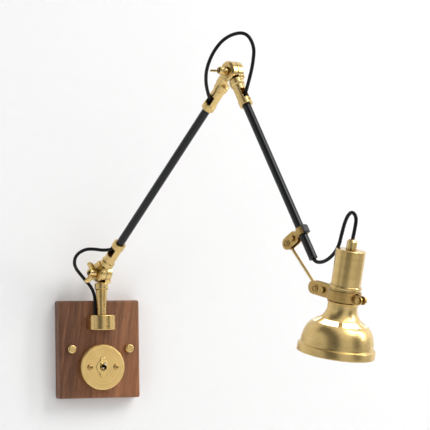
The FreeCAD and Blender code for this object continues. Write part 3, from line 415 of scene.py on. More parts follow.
def dull(name, colour, roughness, grain=500.0, depth=0.15, metallic=0.0, gloss=0.5):
    """Moulded or plated material with a fine grain."""
    made, shader, surface = new_material(name)
    place = shader.place()
    fine = shader.noise(place, grain, 3.0, 0.6)
    slow = shader.noise(place, 35.0, 3.0, 0.5)
    pale = tuple(min(1.0, 1.25 * c) for c in colour) + (1,)
    dark = tuple(0.8 * c for c in colour) + (1,)
    shader.feed(surface.inputs["Base Color"], shader.mix(shader.range(slow, 0.35, 0.65), dark, pale))
    surface.inputs["Metallic"].default_value = metallic
    surface.inputs["Specular IOR Level"].default_value = gloss
    shader.feed(surface.inputs["Roughness"], shader.math("MULTIPLY_ADD", fine, 0.2, roughness - 0.1))
    bump = shader.bump(fine, depth, 0.0001)
    shader.feed(bump.inputs["Normal"], shader.add("ShaderNodeBevel", {"Radius": 0.0003}, samples=4))
    shader.feed(surface.inputs["Normal"], bump)
    return made


def bulb_glass():
    made, shader, surface = new_material("Frosted bulb")
    finishes = bpy.context.scene.lamp_finishes
    surface.inputs["Base Color"].default_value = (0.95, 0.93, 0.88, 1)
    surface.inputs["Roughness"].default_value = 0.55
    frost = shader.noise(shader.place(), 90.0, 3.0)
    warm = finishes.glow
    pale = tuple(0.5 + 0.5 * c for c in warm[:3]) + (1,)
    shader.feed(surface.inputs["Emission Color"], shader.mix(frost, warm, pale))
    surface.inputs["Emission Strength"].default_value = finishes.glow_strength
    return made


def shade_brass():
    """Spun brass outside, pale satin lacquer on the inner faces."""
    made, shader, surface, turned = brass_surface("Spun shade brass", RIM, HEAD_WAY, 0.30,
                                                  fineness=1500.0, lines=0.45, edge=0.0005)
    lining = shader.math("LESS_THAN", turned["Outward"], -0.02)
    colour = surface.inputs["Base Color"].links[0].from_socket
    shader.feed(surface.inputs["Base Color"], shader.mix(lining, colour, (0.80, 0.76, 0.66, 1)))
    shader.feed(surface.inputs["Metallic"], shader.math("SUBTRACT", 1.0, lining))
    return made


def give(nodes, made):
    """Put a material on CAD nodes."""
    for node in nodes:
        mesh = NODES[node].data
        mesh.materials.clear()
        mesh.materials.append(made)


# ---- mesh helpers -------------------------------------------------------------------------------
def add_object(name, mesh, made):
    mesh.materials.clear()
    mesh.materials.append(made)
    piece = bpy.data.objects.new(name, mesh)
    bpy.context.scene.collection.objects.link(piece)
    return piece


def finished(piece, body, node):
    """Let a drawn piece take the place of its CAD node."""
    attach(piece, body)
    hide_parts(node)


def smooth_line(points, steps):
    """A smooth line through the points, as many steps from each to the next."""
    line = []
    count = len(points)
    for i in range(count - 1):
        before = points[i - 1] if i else points[0] * 2 - points[1]
        here = points[i]
        there = points[i + 1]
        after = points[i + 2] if i + 2 < count else there * 2 - here
        for k in range(steps):
            t = k / steps
            line.append(0.5 * ((2 * here) + (there - before) * t
                               + (2 * before - 5 * here + 4 * there - after) * t * t
                               + (3 * here - before - 3 * there + after) * t ** 3))
    return line + [points[-1]]


def lathe_mesh(name, outline, matrix, sides=96, sharp=35):
    """Turn an outline of (radius, height) about Z; a radius of nought closes it with one point."""
    shape = bmesh.new()
    rings = []
    for radius, height in outline:
        if radius < 1e-7:
            rings.append([shape.verts.new((0, 0, height))])
            continue
        ring = []
        for k in range(sides):
            angle = 2 * math.pi * k / sides
            ring.append(shape.verts.new((radius * math.cos(angle), radius * math.sin(angle), height)))
        rings.append(ring)
    pairs = list(zip(rings, rings[1:]))
    if len(rings[0]) > 1 or len(rings[-1]) > 1:
        pairs.append((rings[-1], rings[0]))
    for low, high in pairs:
        for k in range(sides):
            following = (k + 1) % sides
            corners = [low[k % len(low)], low[following % len(low)], high[following % len(high)],
                       high[k % len(high)]]
            corners = list(dict.fromkeys(corners))
            if len(corners) > 2:
                shape.faces.new(corners)
    return mesh_from(name, shape, matrix, sharp)


def mesh_from(name, shape, matrix, sharp=35):
    """A mesh with its place in it, faces outwards, smooth except at sharp edges."""
    bmesh.ops.recalc_face_normals(shape, faces=shape.faces)
    shape.transform(matrix)
    for face in shape.faces:
        face.smooth = True
    mesh = bpy.data.meshes.new(name)
    shape.to_mesh(mesh)
    shape.free()
    mesh.set_sharp_from_angle(angle=math.radians(sharp))
    return mesh


def rounded(corners, radius, steps=4):
    """An outline with each of its corners rounded, as points of (across, along)."""
    points = [Vector(corner) for corner in corners]
    line = []
    for i, corner in enumerate(points):
        if i in (0, len(points) - 1):
            line.append(corner)
            continue
        back = points[i - 1] - corner
        ahead = points[i + 1] - corner
        reach = min(radius, back.length * 0.45, ahead.length * 0.45)
        start = corner + back.normalized() * reach
        end = corner + ahead.normalized() * reach
        for k in range(steps + 1):
            t = k / steps
            line.append(start * (1 - t) ** 2 + corner * 2 * t * (1 - t) + end * t * t)
    return line


def slab(outline, thick, soft, name, matrix, sharp=40):
    """A flat piece from a closed outline in Y and Z, thick along X, with softened edges."""
    shape = bmesh.new()
    base = [shape.verts.new((-thick / 2, y, z)) for y, z in outline]
    face = shape.faces.new(base)
    pushed = bmesh.ops.extrude_face_region(shape, geom=[face])
    for vertex in [g for g in pushed["geom"] if isinstance(g, bmesh.types.BMVert)]:
        vertex.co.x += thick
    bmesh.ops.recalc_face_normals(shape, faces=shape.faces)
    rims = [e for e in shape.edges if abs(e.verts[0].co.x - e.verts[1].co.x) < 1e-7]
    bmesh.ops.bevel(shape, geom=rims, offset=soft, segments=3, affect="EDGES", profile=0.6)
    return mesh_from(name, shape, matrix, sharp)


def joined(name, meshes, made):
    """One object from several meshes."""
    shape = bmesh.new()
    for mesh in meshes:
        shape.from_mesh(mesh)
        bpy.data.meshes.remove(mesh)
    mesh = bpy.data.meshes.new(name)
    shape.to_mesh(mesh)
    shape.free()
    return add_object(name, mesh, made)


# ---- repeats ------------------------------------------------------------------------------------
def row_tree():
    """Geometry nodes that set copies of a piece in a row at a spacing, as one real mesh."""
    tree = bpy.data.node_groups.new("Row of pieces", "GeometryNodeTree")
    for label, kind in (("Piece", "Geometry"), ("Count", "Int"), ("Spacing", "Float"), ("Way", "Vector"),
                        ("Finish", "Material")):
        tree.interface.new_socket(label, in_out="INPUT", socket_type="NodeSocket" + kind)
    tree.interface.new_socket("Pieces", in_out="OUTPUT", socket_type="NodeSocketGeometry")
    add = tree.nodes.new
    link = tree.links.new
    given = add("NodeGroupInput").outputs
    result = add("NodeGroupOutput").inputs
    line = add("GeometryNodeMeshLine")
    step = add("ShaderNodeVectorMath")
    step.operation = "SCALE"
    link(given["Way"], step.inputs[0])
    link(given["Spacing"], step.inputs["Scale"])
    link(given["Count"], line.inputs["Count"])
    link(step.outputs[0], line.inputs["Offset"])
    link(back_half(tree, given, step), line.inputs["Start Location"])
    copies = add("GeometryNodeInstanceOnPoints")
    link(line.outputs[0], copies.inputs["Points"])
    link(given["Piece"], copies.inputs["Instance"])
    real = add("GeometryNodeRealizeInstances")
    link(copies.outputs[0], real.inputs[0])
    finish = add("GeometryNodeSetMaterial")
    link(real.outputs[0], finish.inputs["Geometry"])
    link(given["Finish"], finish.inputs["Material"])
    link(finish.outputs[0], result["Pieces"])
    return tree


def back_half(tree, given, step):
    """The row's first place, which is half its length back from the middle."""
    gaps = tree.nodes.new("ShaderNodeMath")
    gaps.operation = "MULTIPLY_ADD"
    tree.links.new(given["Count"], gaps.inputs[0])
    gaps.inputs[1].default_value = -0.5
    gaps.inputs[2].default_value = 0.5
    start = tree.nodes.new("ShaderNodeVectorMath")
    start.operation = "SCALE"
    tree.links.new(step.outputs[0], start.inputs[0])
    tree.links.new(gaps.outputs[0], start.inputs["Scale"])
    return start.outputs[0]


def row_of(mesh, name, made, spacing, way, count=2):
    """Two or more copies of a mesh in a row about its own place."""
    tree = bpy.data.node_groups.get("Row of pieces") or row_tree()
    holder = bpy.data.objects.new(name + "_row", mesh)
    bpy.context.scene.collection.objects.link(holder)
    modifier = holder.modifiers.new("Row", "NODES")
    modifier.node_group = tree
    named = {item.name: item.identifier for item in tree.interface.items_tree}
    modifier[named["Count"]] = count
    modifier[named["Spacing"]] = spacing
    modifier[named["Way"]] = tuple(way)
    modifier[named["Finish"]] = made
    bpy.context.view_layer.update()
    ready = holder.evaluated_get(bpy.context.evaluated_depsgraph_get())
    row = bpy.data.meshes.new_from_object(ready)
    row.name = name
    bpy.data.objects.remove(holder)
    bpy.data.meshes.remove(mesh)
    row.set_sharp_from_angle(angle=math.radians(35))
    return add_object(name, row, made)


# ---- pieces of the head -------------------------------------------------------------------------
SHADE_SKIRT = [(0.0497, 0.0), (0.0509, 0.0006), (0.05075, 0.0092), (0.0500, 0.0106), (0.0483, 0.0113),
               (0.0477, 0.0126)]
SHADE_DOME = [(0.0477, 0.0126), (0.0472, 0.0175), (0.0461, 0.0235), (0.0444, 0.0292), (0.0419, 0.0342),
              (0.0383, 0.0387), (0.0336, 0.0421), (0.0290, 0.0447), (0.0252, 0.0478), (0.0224, 0.0516),
              (0.0205, 0.0556), (0.0196, 0.0600), (0.0195, 0.0650)]
SHADE_TOP = 0.086
NECK_RADIUS = 0.0195
BEAD_OUT = 0.0013
BEAD_LOW = 0.0664
BEAD_TALL = 0.003
VENT_LOW = 0.0407
VENT_HIGH = 0.0465
VENT_TURN = math.radians(46)
SHADE_SIDES = 180
RING_SLACK = 0.0007


def shade_rings():
    """The shade's outer outline from rim to neck, with a ring at each edge of the vents."""
    dome = smooth_line([Vector(point) for point in SHADE_DOME], 3)
    bead = [Vector((NECK_RADIUS + BEAD_OUT * math.sin(math.radians(step)) ** 0.7,
                    BEAD_LOW + BEAD_TALL * step / 180)) for step in range(0, 181, 20)]
    line = [Vector(point) for point in SHADE_SKIRT[:-1]] + dome + bead + [Vector((NECK_RADIUS, SHADE_TOP))]
    for level in (VENT_LOW, VENT_HIGH):
        i = next(k for k, point in enumerate(line) if point.y > level)
        share = (level - line[i - 1].y) / (line[i].y - line[i - 1].y)
        crossing = line[i - 1].lerp(line[i], share)
        near = i if (line[i] - crossing).length < (line[i - 1] - crossing).length else i - 1
        if (line[near] - crossing).length < RING_SLACK:
            line[near] = crossing
        else:
            line.insert(i, crossing)
    return line


def inward(line, wall):
    """The outline moved in by the wall's thickness, square to itself."""
    moved = []
    for i, point in enumerate(line):
        way = line[min(i + 1, len(line) - 1)] - line[max(i - 1, 0)]
        normal = Vector((-way.y, way.x)).normalized()
        moved.append(point + normal * wall)
    moved[0].y = line[0].y
    moved[-1].y = line[-1].y
    return moved


def shade_piece(made):
    sizes = bpy.context.scene.lamp_sizes
    outer = shade_rings()
    inner = inward(outer, sizes.shade_wall)
    count = len(outer)
    sides = SHADE_SIDES
    pitch = 2 * math.pi / sizes.vent_count
    turn = VENT_TURN + sizes.vent_angle / 2

    def in_vent(side, ring):
        middle = (2 * math.pi * (side + 0.5) / sides + pitch * sides) % pitch
        low = outer[ring].y > VENT_LOW - 1e-6
        high = outer[ring + 1].y < VENT_HIGH + 1e-6
        return low and high and middle > pitch - sizes.vent_angle

    shape = bmesh.new()
    skins = []
    for line in (outer, inner):
        rings = []
        for point in line:
            ring = []
            for k in range(sides):
                angle = turn + 2 * math.pi * k / sides
                ring.append(shape.verts.new((point.x * math.cos(angle), point.x * math.sin(angle),
                                             point.y)))
            rings.append(ring)
        skins.append(rings)
    for i in range(count - 1):
        for k in range(sides):
            if in_vent(k, i):
                continue
            following = (k + 1) % sides
            for rings in skins:
                shape.faces.new((rings[i][k], rings[i][following], rings[i + 1][following],
                                 rings[i + 1][k]))
    for i in (0, count - 1):
        for k in range(sides):
            following = (k + 1) % sides
            shape.faces.new((skins[0][i][k], skins[0][i][following], skins[1][i][following],
                             skins[1][i][k]))
    for i in range(count - 1):
        for k in range(sides):
            if not in_vent(k, i):
                continue
            following = (k + 1) % sides
            borders = []
            if not in_vent(k, i - 1):
                borders.append((skins[0][i][k], skins[0][i][following], skins[1][i][following],
                                skins[1][i][k]))
            if not in_vent(k, i + 1):
                borders.append((skins[0][i + 1][k], skins[0][i + 1][following], skins[1][i + 1][following],
                                skins[1][i + 1][k]))
            if not in_vent(k - 1, i):
                borders.append((skins[0][i][k], skins[0][i + 1][k], skins[1][i + 1][k], skins[1][i][k]))
            if not in_vent(k + 1, i):
                borders.append((skins[0][i][following], skins[0][i + 1][following],
                                skins[1][i + 1][following], skins[1][i][following]))
            for border in borders:
                shape.faces.new(border)
    piece = add_object("spun_shade", mesh_from("spun_shade", shape, HEAD, 32), made)
    finished(piece, "head", "shade")


def bulb_piece(made):
    half = 0.026
    middle = 0.027
    neck_radius = 0.0131
    top = 0.0960
    line = [Vector((0, middle - half))]
    for degrees in range(-80, 55, 10):
        angle = math.radians(degrees)
        line.append(Vector((half * math.cos(angle), middle + half * math.sin(angle))))
    neck = smooth_line([line[-1], Vector((0.0140, 0.0530)), Vector((neck_radius, 0.0600)),
                        Vector((neck_radius, 0.0700))], 4)
    outline = line[:-1] + neck + [Vector((neck_radius, top)), Vector((0, top))]
    mesh = lathe_mesh("frosted_bulb", outline, HEAD, 72, 50)
    finished(add_object("frosted_bulb", mesh, made), "head", "bulb")


# ---- wing nuts and screws -----------------------------------------------------------------------
WING_OUTLINE = [(-12.4, 3.6), (-13.0, 6.6), (-15.8, 10.6), (-19.2, 13.6), (-22.4, 15.1), (-25.2, 15.0),
                (-27.2, 13.6), (-27.6, 11.6), (-26.4, 9.6), (-24.2, 7.6), (-22.8, 5.6), (-21.6, 3.6)]
WING_THICK = 0.0030
WING_SOFT = 0.0009
BASE_WING_TURN = 15
ELBOW_WING_TURN = 93
HUB_OUTLINE = [(3.05, -10.53), (5.4, -10.53), (6.0, -11.1), (6.0, -12.6), (5.5, -18.0), (5.0, -22.4),
               (4.3, -23.1), (2.3, -23.1), (1.8, -22.6), (1.8, -20.1), (3.05, -20.1), (3.05, -10.53)]


def wing_nut(name, node, body, joint, turn, made):
    """Hub and two flared wings, its axis along the hinge."""
    matrix = frame_at(joint, turn)
    hub = [Vector((r / 1000, -y / 1000)) for r, y in HUB_OUTLINE[:-1]]
    flipped = matrix @ Matrix.Rotation(math.radians(90), 4, "X")
    parts = [lathe_mesh("hub", hub, flipped, 48, 40)]
    for side in (-1, 1):
        points = [Vector((y / 1000, side * z / 1000)) for y, z in WING_OUTLINE]
        line = smooth_line(points + [points[0]], 3)[:-1]
        parts.append(slab(line, WING_THICK, WING_SOFT, "wing", matrix))
    piece = joined(name, parts, made)
    finished(piece, body, node)


CROSS_BLADE = (0.0048, 0.0009, 0.0026)
CROSS_LEVEL = 0.0021
CROSS_TAPER = 0.45
CROSS_TURNS = (25, 115)


def crossed_screw_mesh():
    """A raised screw head with a cross recess, its shank in the plate."""
    shank = 0.0021
    rim = 0.0043
    deep = -0.014
    head = rounded([(0, deep), (shank, deep), (shank, 0), (rim, 0), (rim, 0.0007), (0.0030, 0.0017),
                    (0, 0.0020)], 0.0004, 3)
    mesh = lathe_mesh("screw_head", head, Matrix.Identity(4), 48, 40)
    holder = bpy.data.objects.new("screw_head", mesh)
    bpy.context.scene.collection.objects.link(holder)
    cutters = []
    for turn in CROSS_TURNS:
        shape = bmesh.new()
        bmesh.ops.create_cube(shape, size=1)
        narrow = Matrix.Diagonal((*CROSS_BLADE, 1))
        shape.transform(Matrix.Rotation(math.radians(turn), 4, "Z")
                        @ Matrix.Translation((0, 0, CROSS_LEVEL)) @ narrow)
        for vertex in shape.verts:
            if vertex.co.z < CROSS_LEVEL:
                vertex.co.x *= CROSS_TAPER
                vertex.co.y *= CROSS_TAPER
        blade = bpy.data.meshes.new("blade")
        shape.to_mesh(blade)
        shape.free()
        cutter = bpy.data.objects.new("blade", blade)
        bpy.context.scene.collection.objects.link(cutter)
        cut = holder.modifiers.new("Cut", "BOOLEAN")
        cut.operation = "DIFFERENCE"
        cut.solver = "EXACT"
        cut.object = cutter
        cutters.append(cutter)
    bpy.context.view_layer.update()
    ready = holder.evaluated_get(bpy.context.evaluated_depsgraph_get())
    cut_mesh = bpy.data.meshes.new_from_object(ready)
    for thing in cutters + [holder]:
        data = thing.data
        bpy.data.objects.remove(thing)
        bpy.data.meshes.remove(data)
    cut_mesh.transform(SWITCH_FRAME)
    return cut_mesh


def cap_nut_mesh():
    """A turned knob with a flat collar and a softly rounded face."""
    bore = 0.00205
    radius = 0.0065
    outline = rounded([(bore, 0), (radius, 0), (radius, 0.0068), (0.0050, 0.0084), (0, 0.0085)], 0.0016, 5)
    outline += [Vector((0, 0.0046)), Vector((bore, 0.0046))]
    place = Matrix.Translation(CAP_NUT_ROW) @ Matrix.Rotation(math.radians(90), 4, "X")
    return lathe_mesh("cap_nut", outline, place, 64, 40)


def lever_piece(made):
    """The switch's ball-ended lever, tilted up."""
    pivot_out = 0.001
    tilt = 25
    pivot = (Matrix.Translation(SWITCH + OUT * pivot_out)
             @ Matrix.Rotation(math.radians(90 - tilt), 4, "X"))
    line = smooth_line([Vector(point) for point in (
        (0.0021, -0.0021), (0.0029, 0.0), (0.0015, 0.0018), (0.0013, 0.0050), (0.0017, 0.0095),
        (0.0020, 0.0117), (0.0012, 0.0132))], 5)
    outline = [Vector((0, -0.0028))] + line + [Vector((0, 0.0135))]
    mesh = lathe_mesh("switch_lever", outline, pivot, 32, 60)
    finished(add_object("switch_lever", mesh, made), "toggle", "toggle_lever")


# from each pin's middle to the faces that it is riveted over
CLAMP_FACE = 0.0043
STRAP_FACE = 0.0045
# outlines of (radius, height) over such a face, at the near and at the far end
PIN_HEAD = [(0, 0.0019), (0.0017, 0.0017), (0.0027, 0.0010), (0.0029, 0.0002), (0.0036, 0.0002),
            (0.0039, 0.0011), (0.0050, 0.0011), (0.0052, 0.0008), (0.0052, 0), (0.0020, 0)]
PIN_TAIL = [(0.0020, 0), (0.0028, 0), (0.0024, 0.0010), (0, 0.0010)]


def ringed_pin(name, node, body, joint, face, made):
    """A riveted pin: a thin flange, a groove and a low dome at the near end, the tail at the far end."""
    outline = [Vector((radius, face + height)) for radius, height in PIN_HEAD]
    outline += [Vector((radius, -face - height)) for radius, height in PIN_TAIL]
    matrix = frame_at(joint, 0) @ Matrix.Rotation(math.radians(90), 4, "X")
    mesh = lathe_mesh(name, outline, matrix, 48, 30)
    finished(add_object(name, mesh, made), body, node)


# ---- cables -------------------------------------------------------------------------------------
def smooth_path(points):
    """The points of the route's smooth line, in metres."""
    curve = bpy.data.curves.new("route", "CURVE")
    curve.dimensions = "3D"
    spline = curve.splines.new("NURBS")
    spline.points.add(len(points) - 1)
    for control, point in zip(spline.points, points):
        control.co = (*(coordinate / 1000 for coordinate in point), 1)
    spline.order_u = 3
    spline.use_endpoint_u = True
    spline.resolution_u = CABLE_STEPS
    holder = bpy.data.objects.new("route", curve)
    line = bpy.data.meshes.new_from_object(holder)
    path = [vertex.co.copy() for vertex in line.vertices]
    bpy.data.objects.remove(holder)
    bpy.data.curves.remove(curve)
    bpy.data.meshes.remove(line)
    return path


def tube_object(name, path, diameter, made, sides=20):
    """A closed round tube along a path, its rings carried along without twist."""
    side = (path[1] - path[0]).orthogonal().normalized()
    corners = []
    faces = []
    for i, centre in enumerate(path):
        way = (path[min(i + 1, len(path) - 1)] - path[max(i - 1, 0)]).normalized()
        side = (side - way * side.dot(way)).normalized()
        other = way.cross(side)
        for k in range(sides):
            angle = 2 * math.pi * k / sides
            corners.append(centre + (side * math.cos(angle) + other * math.sin(angle)) * diameter / 2)
        if i:
            low = (i - 1) * sides
            for k in range(sides):
                following = (k + 1) % sides
                faces.append((low + k, low + following, low + sides + following, low + sides + k))
    last = (len(path) - 1) * sides
    faces.append(tuple(range(sides))[::-1])
    faces.append(tuple(last + k for k in range(sides)))
    mesh = bpy.data.meshes.new(name)
    mesh.from_pydata(corners, [], faces)
    mesh.polygons.foreach_set("use_smooth", [len(face) == 4 for face in faces])
    return add_object(name, mesh, made)


def cable_piece(node, made):
    diameter = bpy.context.scene.lamp_sizes.cable_diameter
    path = smooth_path(CABLE_ROUTES[node])
    piece = tube_object(node + "_line", path, diameter, made)
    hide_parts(node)
    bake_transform(piece)


# ---- stage --------------------------------------------------------------------------------------
def backdrop():
    """A pale wall, open behind the board, that runs down into a pale floor in one sweep."""
    wall_y = 0.0008
    wall_top = 2.4
    floor_z = -1.0
    floor_front = -3.6
    half_width = 3
    bend = 0.4
    bend_steps = 12
    margin = 0.004
    board = [NODES["backboard"].matrix_world @ Vector(corner) for corner in NODES["backboard"].bound_box]
    low_x, high_x = min(c.x for c in board) + margin, max(c.x for c in board) - margin
    low_z, high_z = min(c.z for c in board) + margin, max(c.z for c in board) - margin
    profile = [(wall_y, wall_top), (wall_y, floor_z + bend)]
    for step in range(1, bend_steps + 1):
        angle = math.radians(90 * step / bend_steps)
        profile.append((wall_y - bend * (1 - math.cos(angle)), floor_z + bend * (1 - math.sin(angle))))
    profile.append((floor_front, floor_z))
    corners = [(x, y, z) for y, z in profile for x in (-half_width, half_width)]
    faces = [(2 * i, 2 * i + 1, 2 * i + 3, 2 * i + 2) for i in range(1, len(profile) - 1)]
    opening = len(corners)
    corners += [(low_x, wall_y, high_z), (high_x, wall_y, high_z), (low_x, wall_y, low_z),
                (high_x, wall_y, low_z)]
    faces += [(0, 1, opening + 1, opening), (1, 3, opening + 3, opening + 1),
              (3, 2, opening + 2, opening + 3), (2, 0, opening, opening + 2)]
    mesh = bpy.data.meshes.new("backdrop")
    mesh.from_pydata(corners, [], faces)
    mesh.polygons.foreach_set("use_smooth", [True] * len(faces))
    mesh.flip_normals()
    made, shader, surface = new_material("Pale wall")
    surface.inputs["Roughness"].default_value = 0.9
    plaster = shader.noise(shader.place(), 60.0, 3.0)
    shader.feed(surface.inputs["Base Color"],
                shader.mix(plaster, (0.88, 0.88, 0.88, 1), (0.90, 0.90, 0.90, 1)))
    clear = shader.add("ShaderNodeBsdfTransparent")
    behind = shader.add("ShaderNodeNewGeometry").outputs["Backfacing"]
    seen = shader.add("ShaderNodeMixShader", {0: behind, 1: surface, 2: clear})
    output = made.node_tree.nodes["Material Output"]
    shader.feed(output.inputs["Surface"], seen)
    add_object("backdrop", mesh, made)


LAMP_MIDDLE = Vector((0.15, -0.2, 0.2))
# brightness of the room from far left to far right, as (place, level)
ROOM_BANDS = ((0.0, 0.9), (0.06, 1.2), (0.14, 0.25), (0.34, 0.12), (0.43, 1.1), (0.58, 1.3), (0.70, 1.4),
              (0.77, 0.25), (0.88, 0.20), (0.95, 1.3), (1.0, 1.1))


def area_light(name, place, size, power, tall=1.0, mirrored=True):
    data = bpy.data.lights.new(name, "AREA")
    data.shape = "ELLIPSE"
    data.size = size
    data.size_y = size * tall
    data.energy = power
    light = bpy.data.objects.new(name, data)
    light.location = place
    light.visible_glossy = mirrored
    light.rotation_euler = (LAMP_MIDDLE - Vector(place)).to_track_quat("-Z", "Y").to_euler()
    bpy.context.scene.collection.objects.link(light)


def room(strength):
    """Soft room light with darker bands, so that the metal has something to mirror."""
    world = bpy.data.worlds.new("Room")
    bpy.context.scene.world = world
    world.use_nodes = True
    shader = Shader(world.node_tree)
    place = shader.add("ShaderNodeTexCoord").outputs["Generated"]
    parts = shader.add("ShaderNodeSeparateXYZ", {0: place}).outputs
    bands = shader.add("ShaderNodeValToRGB", {"Fac": shader.range(parts["X"], -1.0, 1.0)})
    elements = bands.color_ramp.elements
    while len(elements) < len(ROOM_BANDS):
        elements.new(0.5)
    for element, (position, value) in zip(elements, ROOM_BANDS):
        element.position = position
        element.color = (value, value, value, 1)
    height = shader.range(parts["Z"], -0.7, 0.8, 0.55, 1.25)
    background = world.node_tree.nodes["Background"]
    shader.feed(background.inputs["Color"], shader.math("MULTIPLY", bands.outputs[0], height))
    background.inputs["Strength"].default_value = strength


def camera():
    """The photograph's view: turned, lowered and rolled about the middle of the picture."""
    away = Vector((math.sin(VIEW_AZIMUTH) * math.cos(VIEW_ELEVATION),
                   -math.cos(VIEW_AZIMUTH) * math.cos(VIEW_ELEVATION), math.sin(VIEW_ELEVATION)))
    level = Vector((math.cos(VIEW_AZIMUTH), math.sin(VIEW_AZIMUTH), 0))
    upright = away.cross(level)
    right = level * math.cos(VIEW_ROLL) + upright * math.sin(VIEW_ROLL)
    up = upright * math.cos(VIEW_ROLL) - level * math.sin(VIEW_ROLL)
    data = bpy.data.cameras.new("view")
    data.lens = LENS_MM
    data.sensor_width = SENSOR_MM
    seen = bpy.data.objects.new("view", data)
    turn = Matrix((right, up, away)).transposed().to_4x4()
    seen.matrix_world = Matrix.Translation(VIEW_TARGET + away * VIEW_DISTANCE) @ turn
    bpy.context.scene.collection.objects.link(seen)
    bpy.context.scene.camera = seen


# ---- operators ----------------------------------------------------------------------------------
class LAMP_OT_backboard(bpy.types.Operator):
    """Oil the walnut board and plate the steel behind it"""
    bl_idname = "lamp.backboard"
    bl_label = "Backboard"

    def execute(self, context):
        give(["backboard"], walnut())
        give(["wall_bracket", "bracket_studs", "boss_screws", "spindle", "spindle_washer", "spindle_screw"],
             dull("Zinc plating", (0.52, 0.52, 0.54), 0.38, metallic=1.0))
        made = brass("Cap nut brass", (0, 0, 0), OUT, 0.26)
        piece = row_of(cap_nut_mesh(), "board_knobs", made, context.scene.lamp_sizes.nut_spacing, ACROSS)
        finished(piece, "root", "cap_nuts")
        return {"FINISHED"}


class LAMP_OT_switch(bpy.types.Operator):
    """Finish the rosette and dress the toggle switch on it"""
    bl_idname = "lamp.switch"
    bl_label = "Switch"

    def execute(self, context):
        # the rosette's brass is lightened with painted light
        give(["rosette"], brass("Rosette brass", SWITCH, OUT, 0.34, fineness=3000.0, lines=0.6,
                                tint=ROSETTE_PAINTED_LIGHT_TINT))
        give(["switch_plate"], brass("Plate brass", SWITCH, OUT, 0.16, lines=0.2, tint=PLATE_TINT))
        give(["switch_bushing"], brass("Bushing brass", SWITCH, OUT, 0.2, lines=0.2, tint=SHADED_TINT))
        give(["switch_body"], dull("Switch body", (0.02, 0.02, 0.02), 0.5))
        nickel = dull("Bright nickel", (0.70, 0.69, 0.66), 0.17, metallic=1.0, depth=0.04)
        give(["toggle_pin"], nickel)
        lever_piece(nickel)
        made = brass("Screw brass", SWITCH, OUT, 0.22, lines=0.2, tint=BRONZE_TINT)
        piece = row_of(crossed_screw_mesh(), "crossed_screws", made, context.scene.lamp_sizes.screw_spacing,
                       ACROSS)
        finished(piece, "root", "plate_screws")
        return {"FINISHED"}


class LAMP_OT_stem(bpy.types.Operator):
    """Finish the boss, the swivel stem and the base knuckle"""
    bl_idname = "lamp.stem"
    bl_label = "Boss and stem"

    def execute(self, context):
        give(["boss", "swivel_sleeve", "stem"],
             brass("Stem brass", SPINDLE, UP, lines=0.2, tint=STEM_TINT))
        made = brass("Base knuckle brass", BASE_JOINT, FAR, lines=0.2)
        give(["stem_knuckle", "lower_knuckle", "base_bolt", "base_washer"], made)
        polished = brass("Base wing nut brass", BASE_JOINT, FAR, 0.18, lines=0.15)
        wing_nut("base_winged", "base_wing_nut", "base_nut", BASE_JOINT, BASE_WING_TURN, polished)
        return {"FINISHED"}


class LAMP_OT_arms(bpy.types.Operator):
    """Finish both arms with their sockets, the elbow and the clamp"""
    bl_idname = "lamp.arms"
    bl_label = "Arms"

    def execute(self, context):
        give(["lower_tube", "forearm_tube"], enamel())
        give(["tube_bush", "clamp_buffer"], dull("Black rubber", (0.012, 0.012, 0.012), 0.5))
        give(["base_socket", "upper_socket", "lower_set_screws"],
             brass("Lower arm brass", BASE_JOINT, leaning(LOWER_TILT)))
        give(["upper_knuckle", "forearm_knuckle", "elbow_bolt", "elbow_washer"],
             brass("Elbow brass", ELBOW_JOINT, FAR))
        give(["forearm_socket", "forearm_set_screw"],
             brass("Forearm brass", ELBOW_JOINT, leaning(FOREARM_TILT)))
        made = brass("Clamp brass", ROD_JOINT, FAR, 0.36, tint=BRONZE_TINT)
        give(["clamp_band", "clamp_bolt", "clamp_nut"], made)
        ringed_pin("clamp_rivet", "clamp_pin", "forearm", ROD_JOINT, CLAMP_FACE, made)
        give(["link_rod"], brass("Rod brass", ROD_JOINT, leaning(ROD_TILT), 0.25))
        polished = brass("Elbow wing nut brass", ELBOW_JOINT, FAR, 0.18, lines=0.15)
        wing_nut("elbow_winged", "elbow_wing_nut", "elbow_nut", ELBOW_JOINT, ELBOW_WING_TURN, polished)
        return {"FINISHED"}


class LAMP_OT_head(bpy.types.Operator):
    """Spin the shade, light the bulb and finish the collar and the cap"""
    bl_idname = "lamp.head"
    bl_label = "Head"

    def execute(self, context):
        shade_piece(shade_brass())
        bulb_piece(bulb_glass())
        give(["cap", "gland"], brass("Cap brass", RIM, HEAD_WAY, 0.22, fineness=1800.0))
        give(["collar_near", "collar_far"], brass("Collar brass", RIM, HEAD_WAY, 0.36, tint=BRONZE_TINT))
        made = brass("Collar bolt brass", HEAD_JOINT, FAR, 0.3, tint=BRONZE_TINT)
        give(["collar_bolts", "collar_nuts"], made)
        ringed_pin("head_rivet", "head_pin", "head", HEAD_JOINT, STRAP_FACE, made)
        give(["lamp_holder"], dull("Lamp holder", (0.02, 0.02, 0.02), 0.5))
        return {"FINISHED"}


class LAMP_OT_cables(bpy.types.Operator):
    """Lay the free stretches of the cable"""
    bl_idname = "lamp.cables"
    bl_label = "Cables"

    def execute(self, context):
        sheath = dull("Cable sheath", tuple(context.scene.lamp_finishes.cable[:3]), 0.3, grain=900.0,
                      depth=0.1, gloss=0.22)
        give(["cable_in_lower_arm", "cable_in_forearm"], sheath)
        for node in CABLE_ROUTES:
            cable_piece(node, sheath)
        return {"FINISHED"}


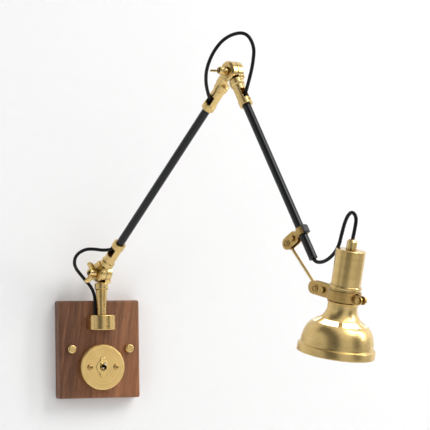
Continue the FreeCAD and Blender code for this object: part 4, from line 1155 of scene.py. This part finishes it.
class LAMP_OT_stage(bpy.types.Operator):
    """Put up the wall, the lights and the camera"""
    bl_idname = "lamp.stage"
    bl_label = "Stage"

    def execute(self, context):
        stage = context.scene.lamp_stage
        backdrop()
        area_light("key", (1.5, -1.8, 2.1), 1.1, stage.key_power, tall=1.5)
        area_light("fill", (-2.2, -1.8, 0.9), 1.2, stage.fill_power, tall=1.6, mirrored=False)
        area_light("rim", (2.1, -1.1, 1.15), 0.32, stage.rim_power, tall=5.0)
        room(stage.room)
        camera()
        context.scene.view_settings.view_transform = "Standard"
        return {"FINISHED"}


class LAMP_PT_panel(bpy.types.Panel):
    """Lists the lamp's settings and pieces"""
    bl_idname = "LAMP_PT_panel"
    bl_label = "Wall lamp"
    bl_space_type = "VIEW_3D"
    bl_region_type = "UI"
    bl_category = "Lamp"

    def draw(self, context):
        for group in (context.scene.lamp_finishes, context.scene.lamp_sizes, context.scene.lamp_stage):
            box = self.layout.box()
            for name in group.__annotations__:
                box.prop(group, name)
        for operator in OPERATORS:
            self.layout.operator(operator.bl_idname)


SETTINGS = {"lamp_finishes": LampFinishes, "lamp_sizes": LampSizes, "lamp_stage": LampStage}
OPERATORS = (LAMP_OT_backboard, LAMP_OT_switch, LAMP_OT_stem, LAMP_OT_arms, LAMP_OT_head, LAMP_OT_cables,
             LAMP_OT_stage)


def register():
    for cls in (*SETTINGS.values(), *OPERATORS, LAMP_PT_panel):
        bpy.utils.register_class(cls)
    for name, cls in SETTINGS.items():
        setattr(bpy.types.Scene, name, PointerProperty(type=cls))


def unregister():
    for name in SETTINGS:
        delattr(bpy.types.Scene, name)
    for cls in reversed((*SETTINGS.values(), *OPERATORS, LAMP_PT_panel)):
        bpy.utils.unregister_class(cls)


def main():
    register()
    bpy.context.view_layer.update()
    make_turned_lines()
    make_patina()
    make_edge_wear()
    make_painted_crease_shade()
    bpy.ops.lamp.backboard()
    bpy.ops.lamp.switch()
    bpy.ops.lamp.stem()
    bpy.ops.lamp.arms()
    bpy.ops.lamp.head()
    bpy.ops.lamp.cables()
    bpy.ops.lamp.stage()


if __name__ == "__main__":
    main()
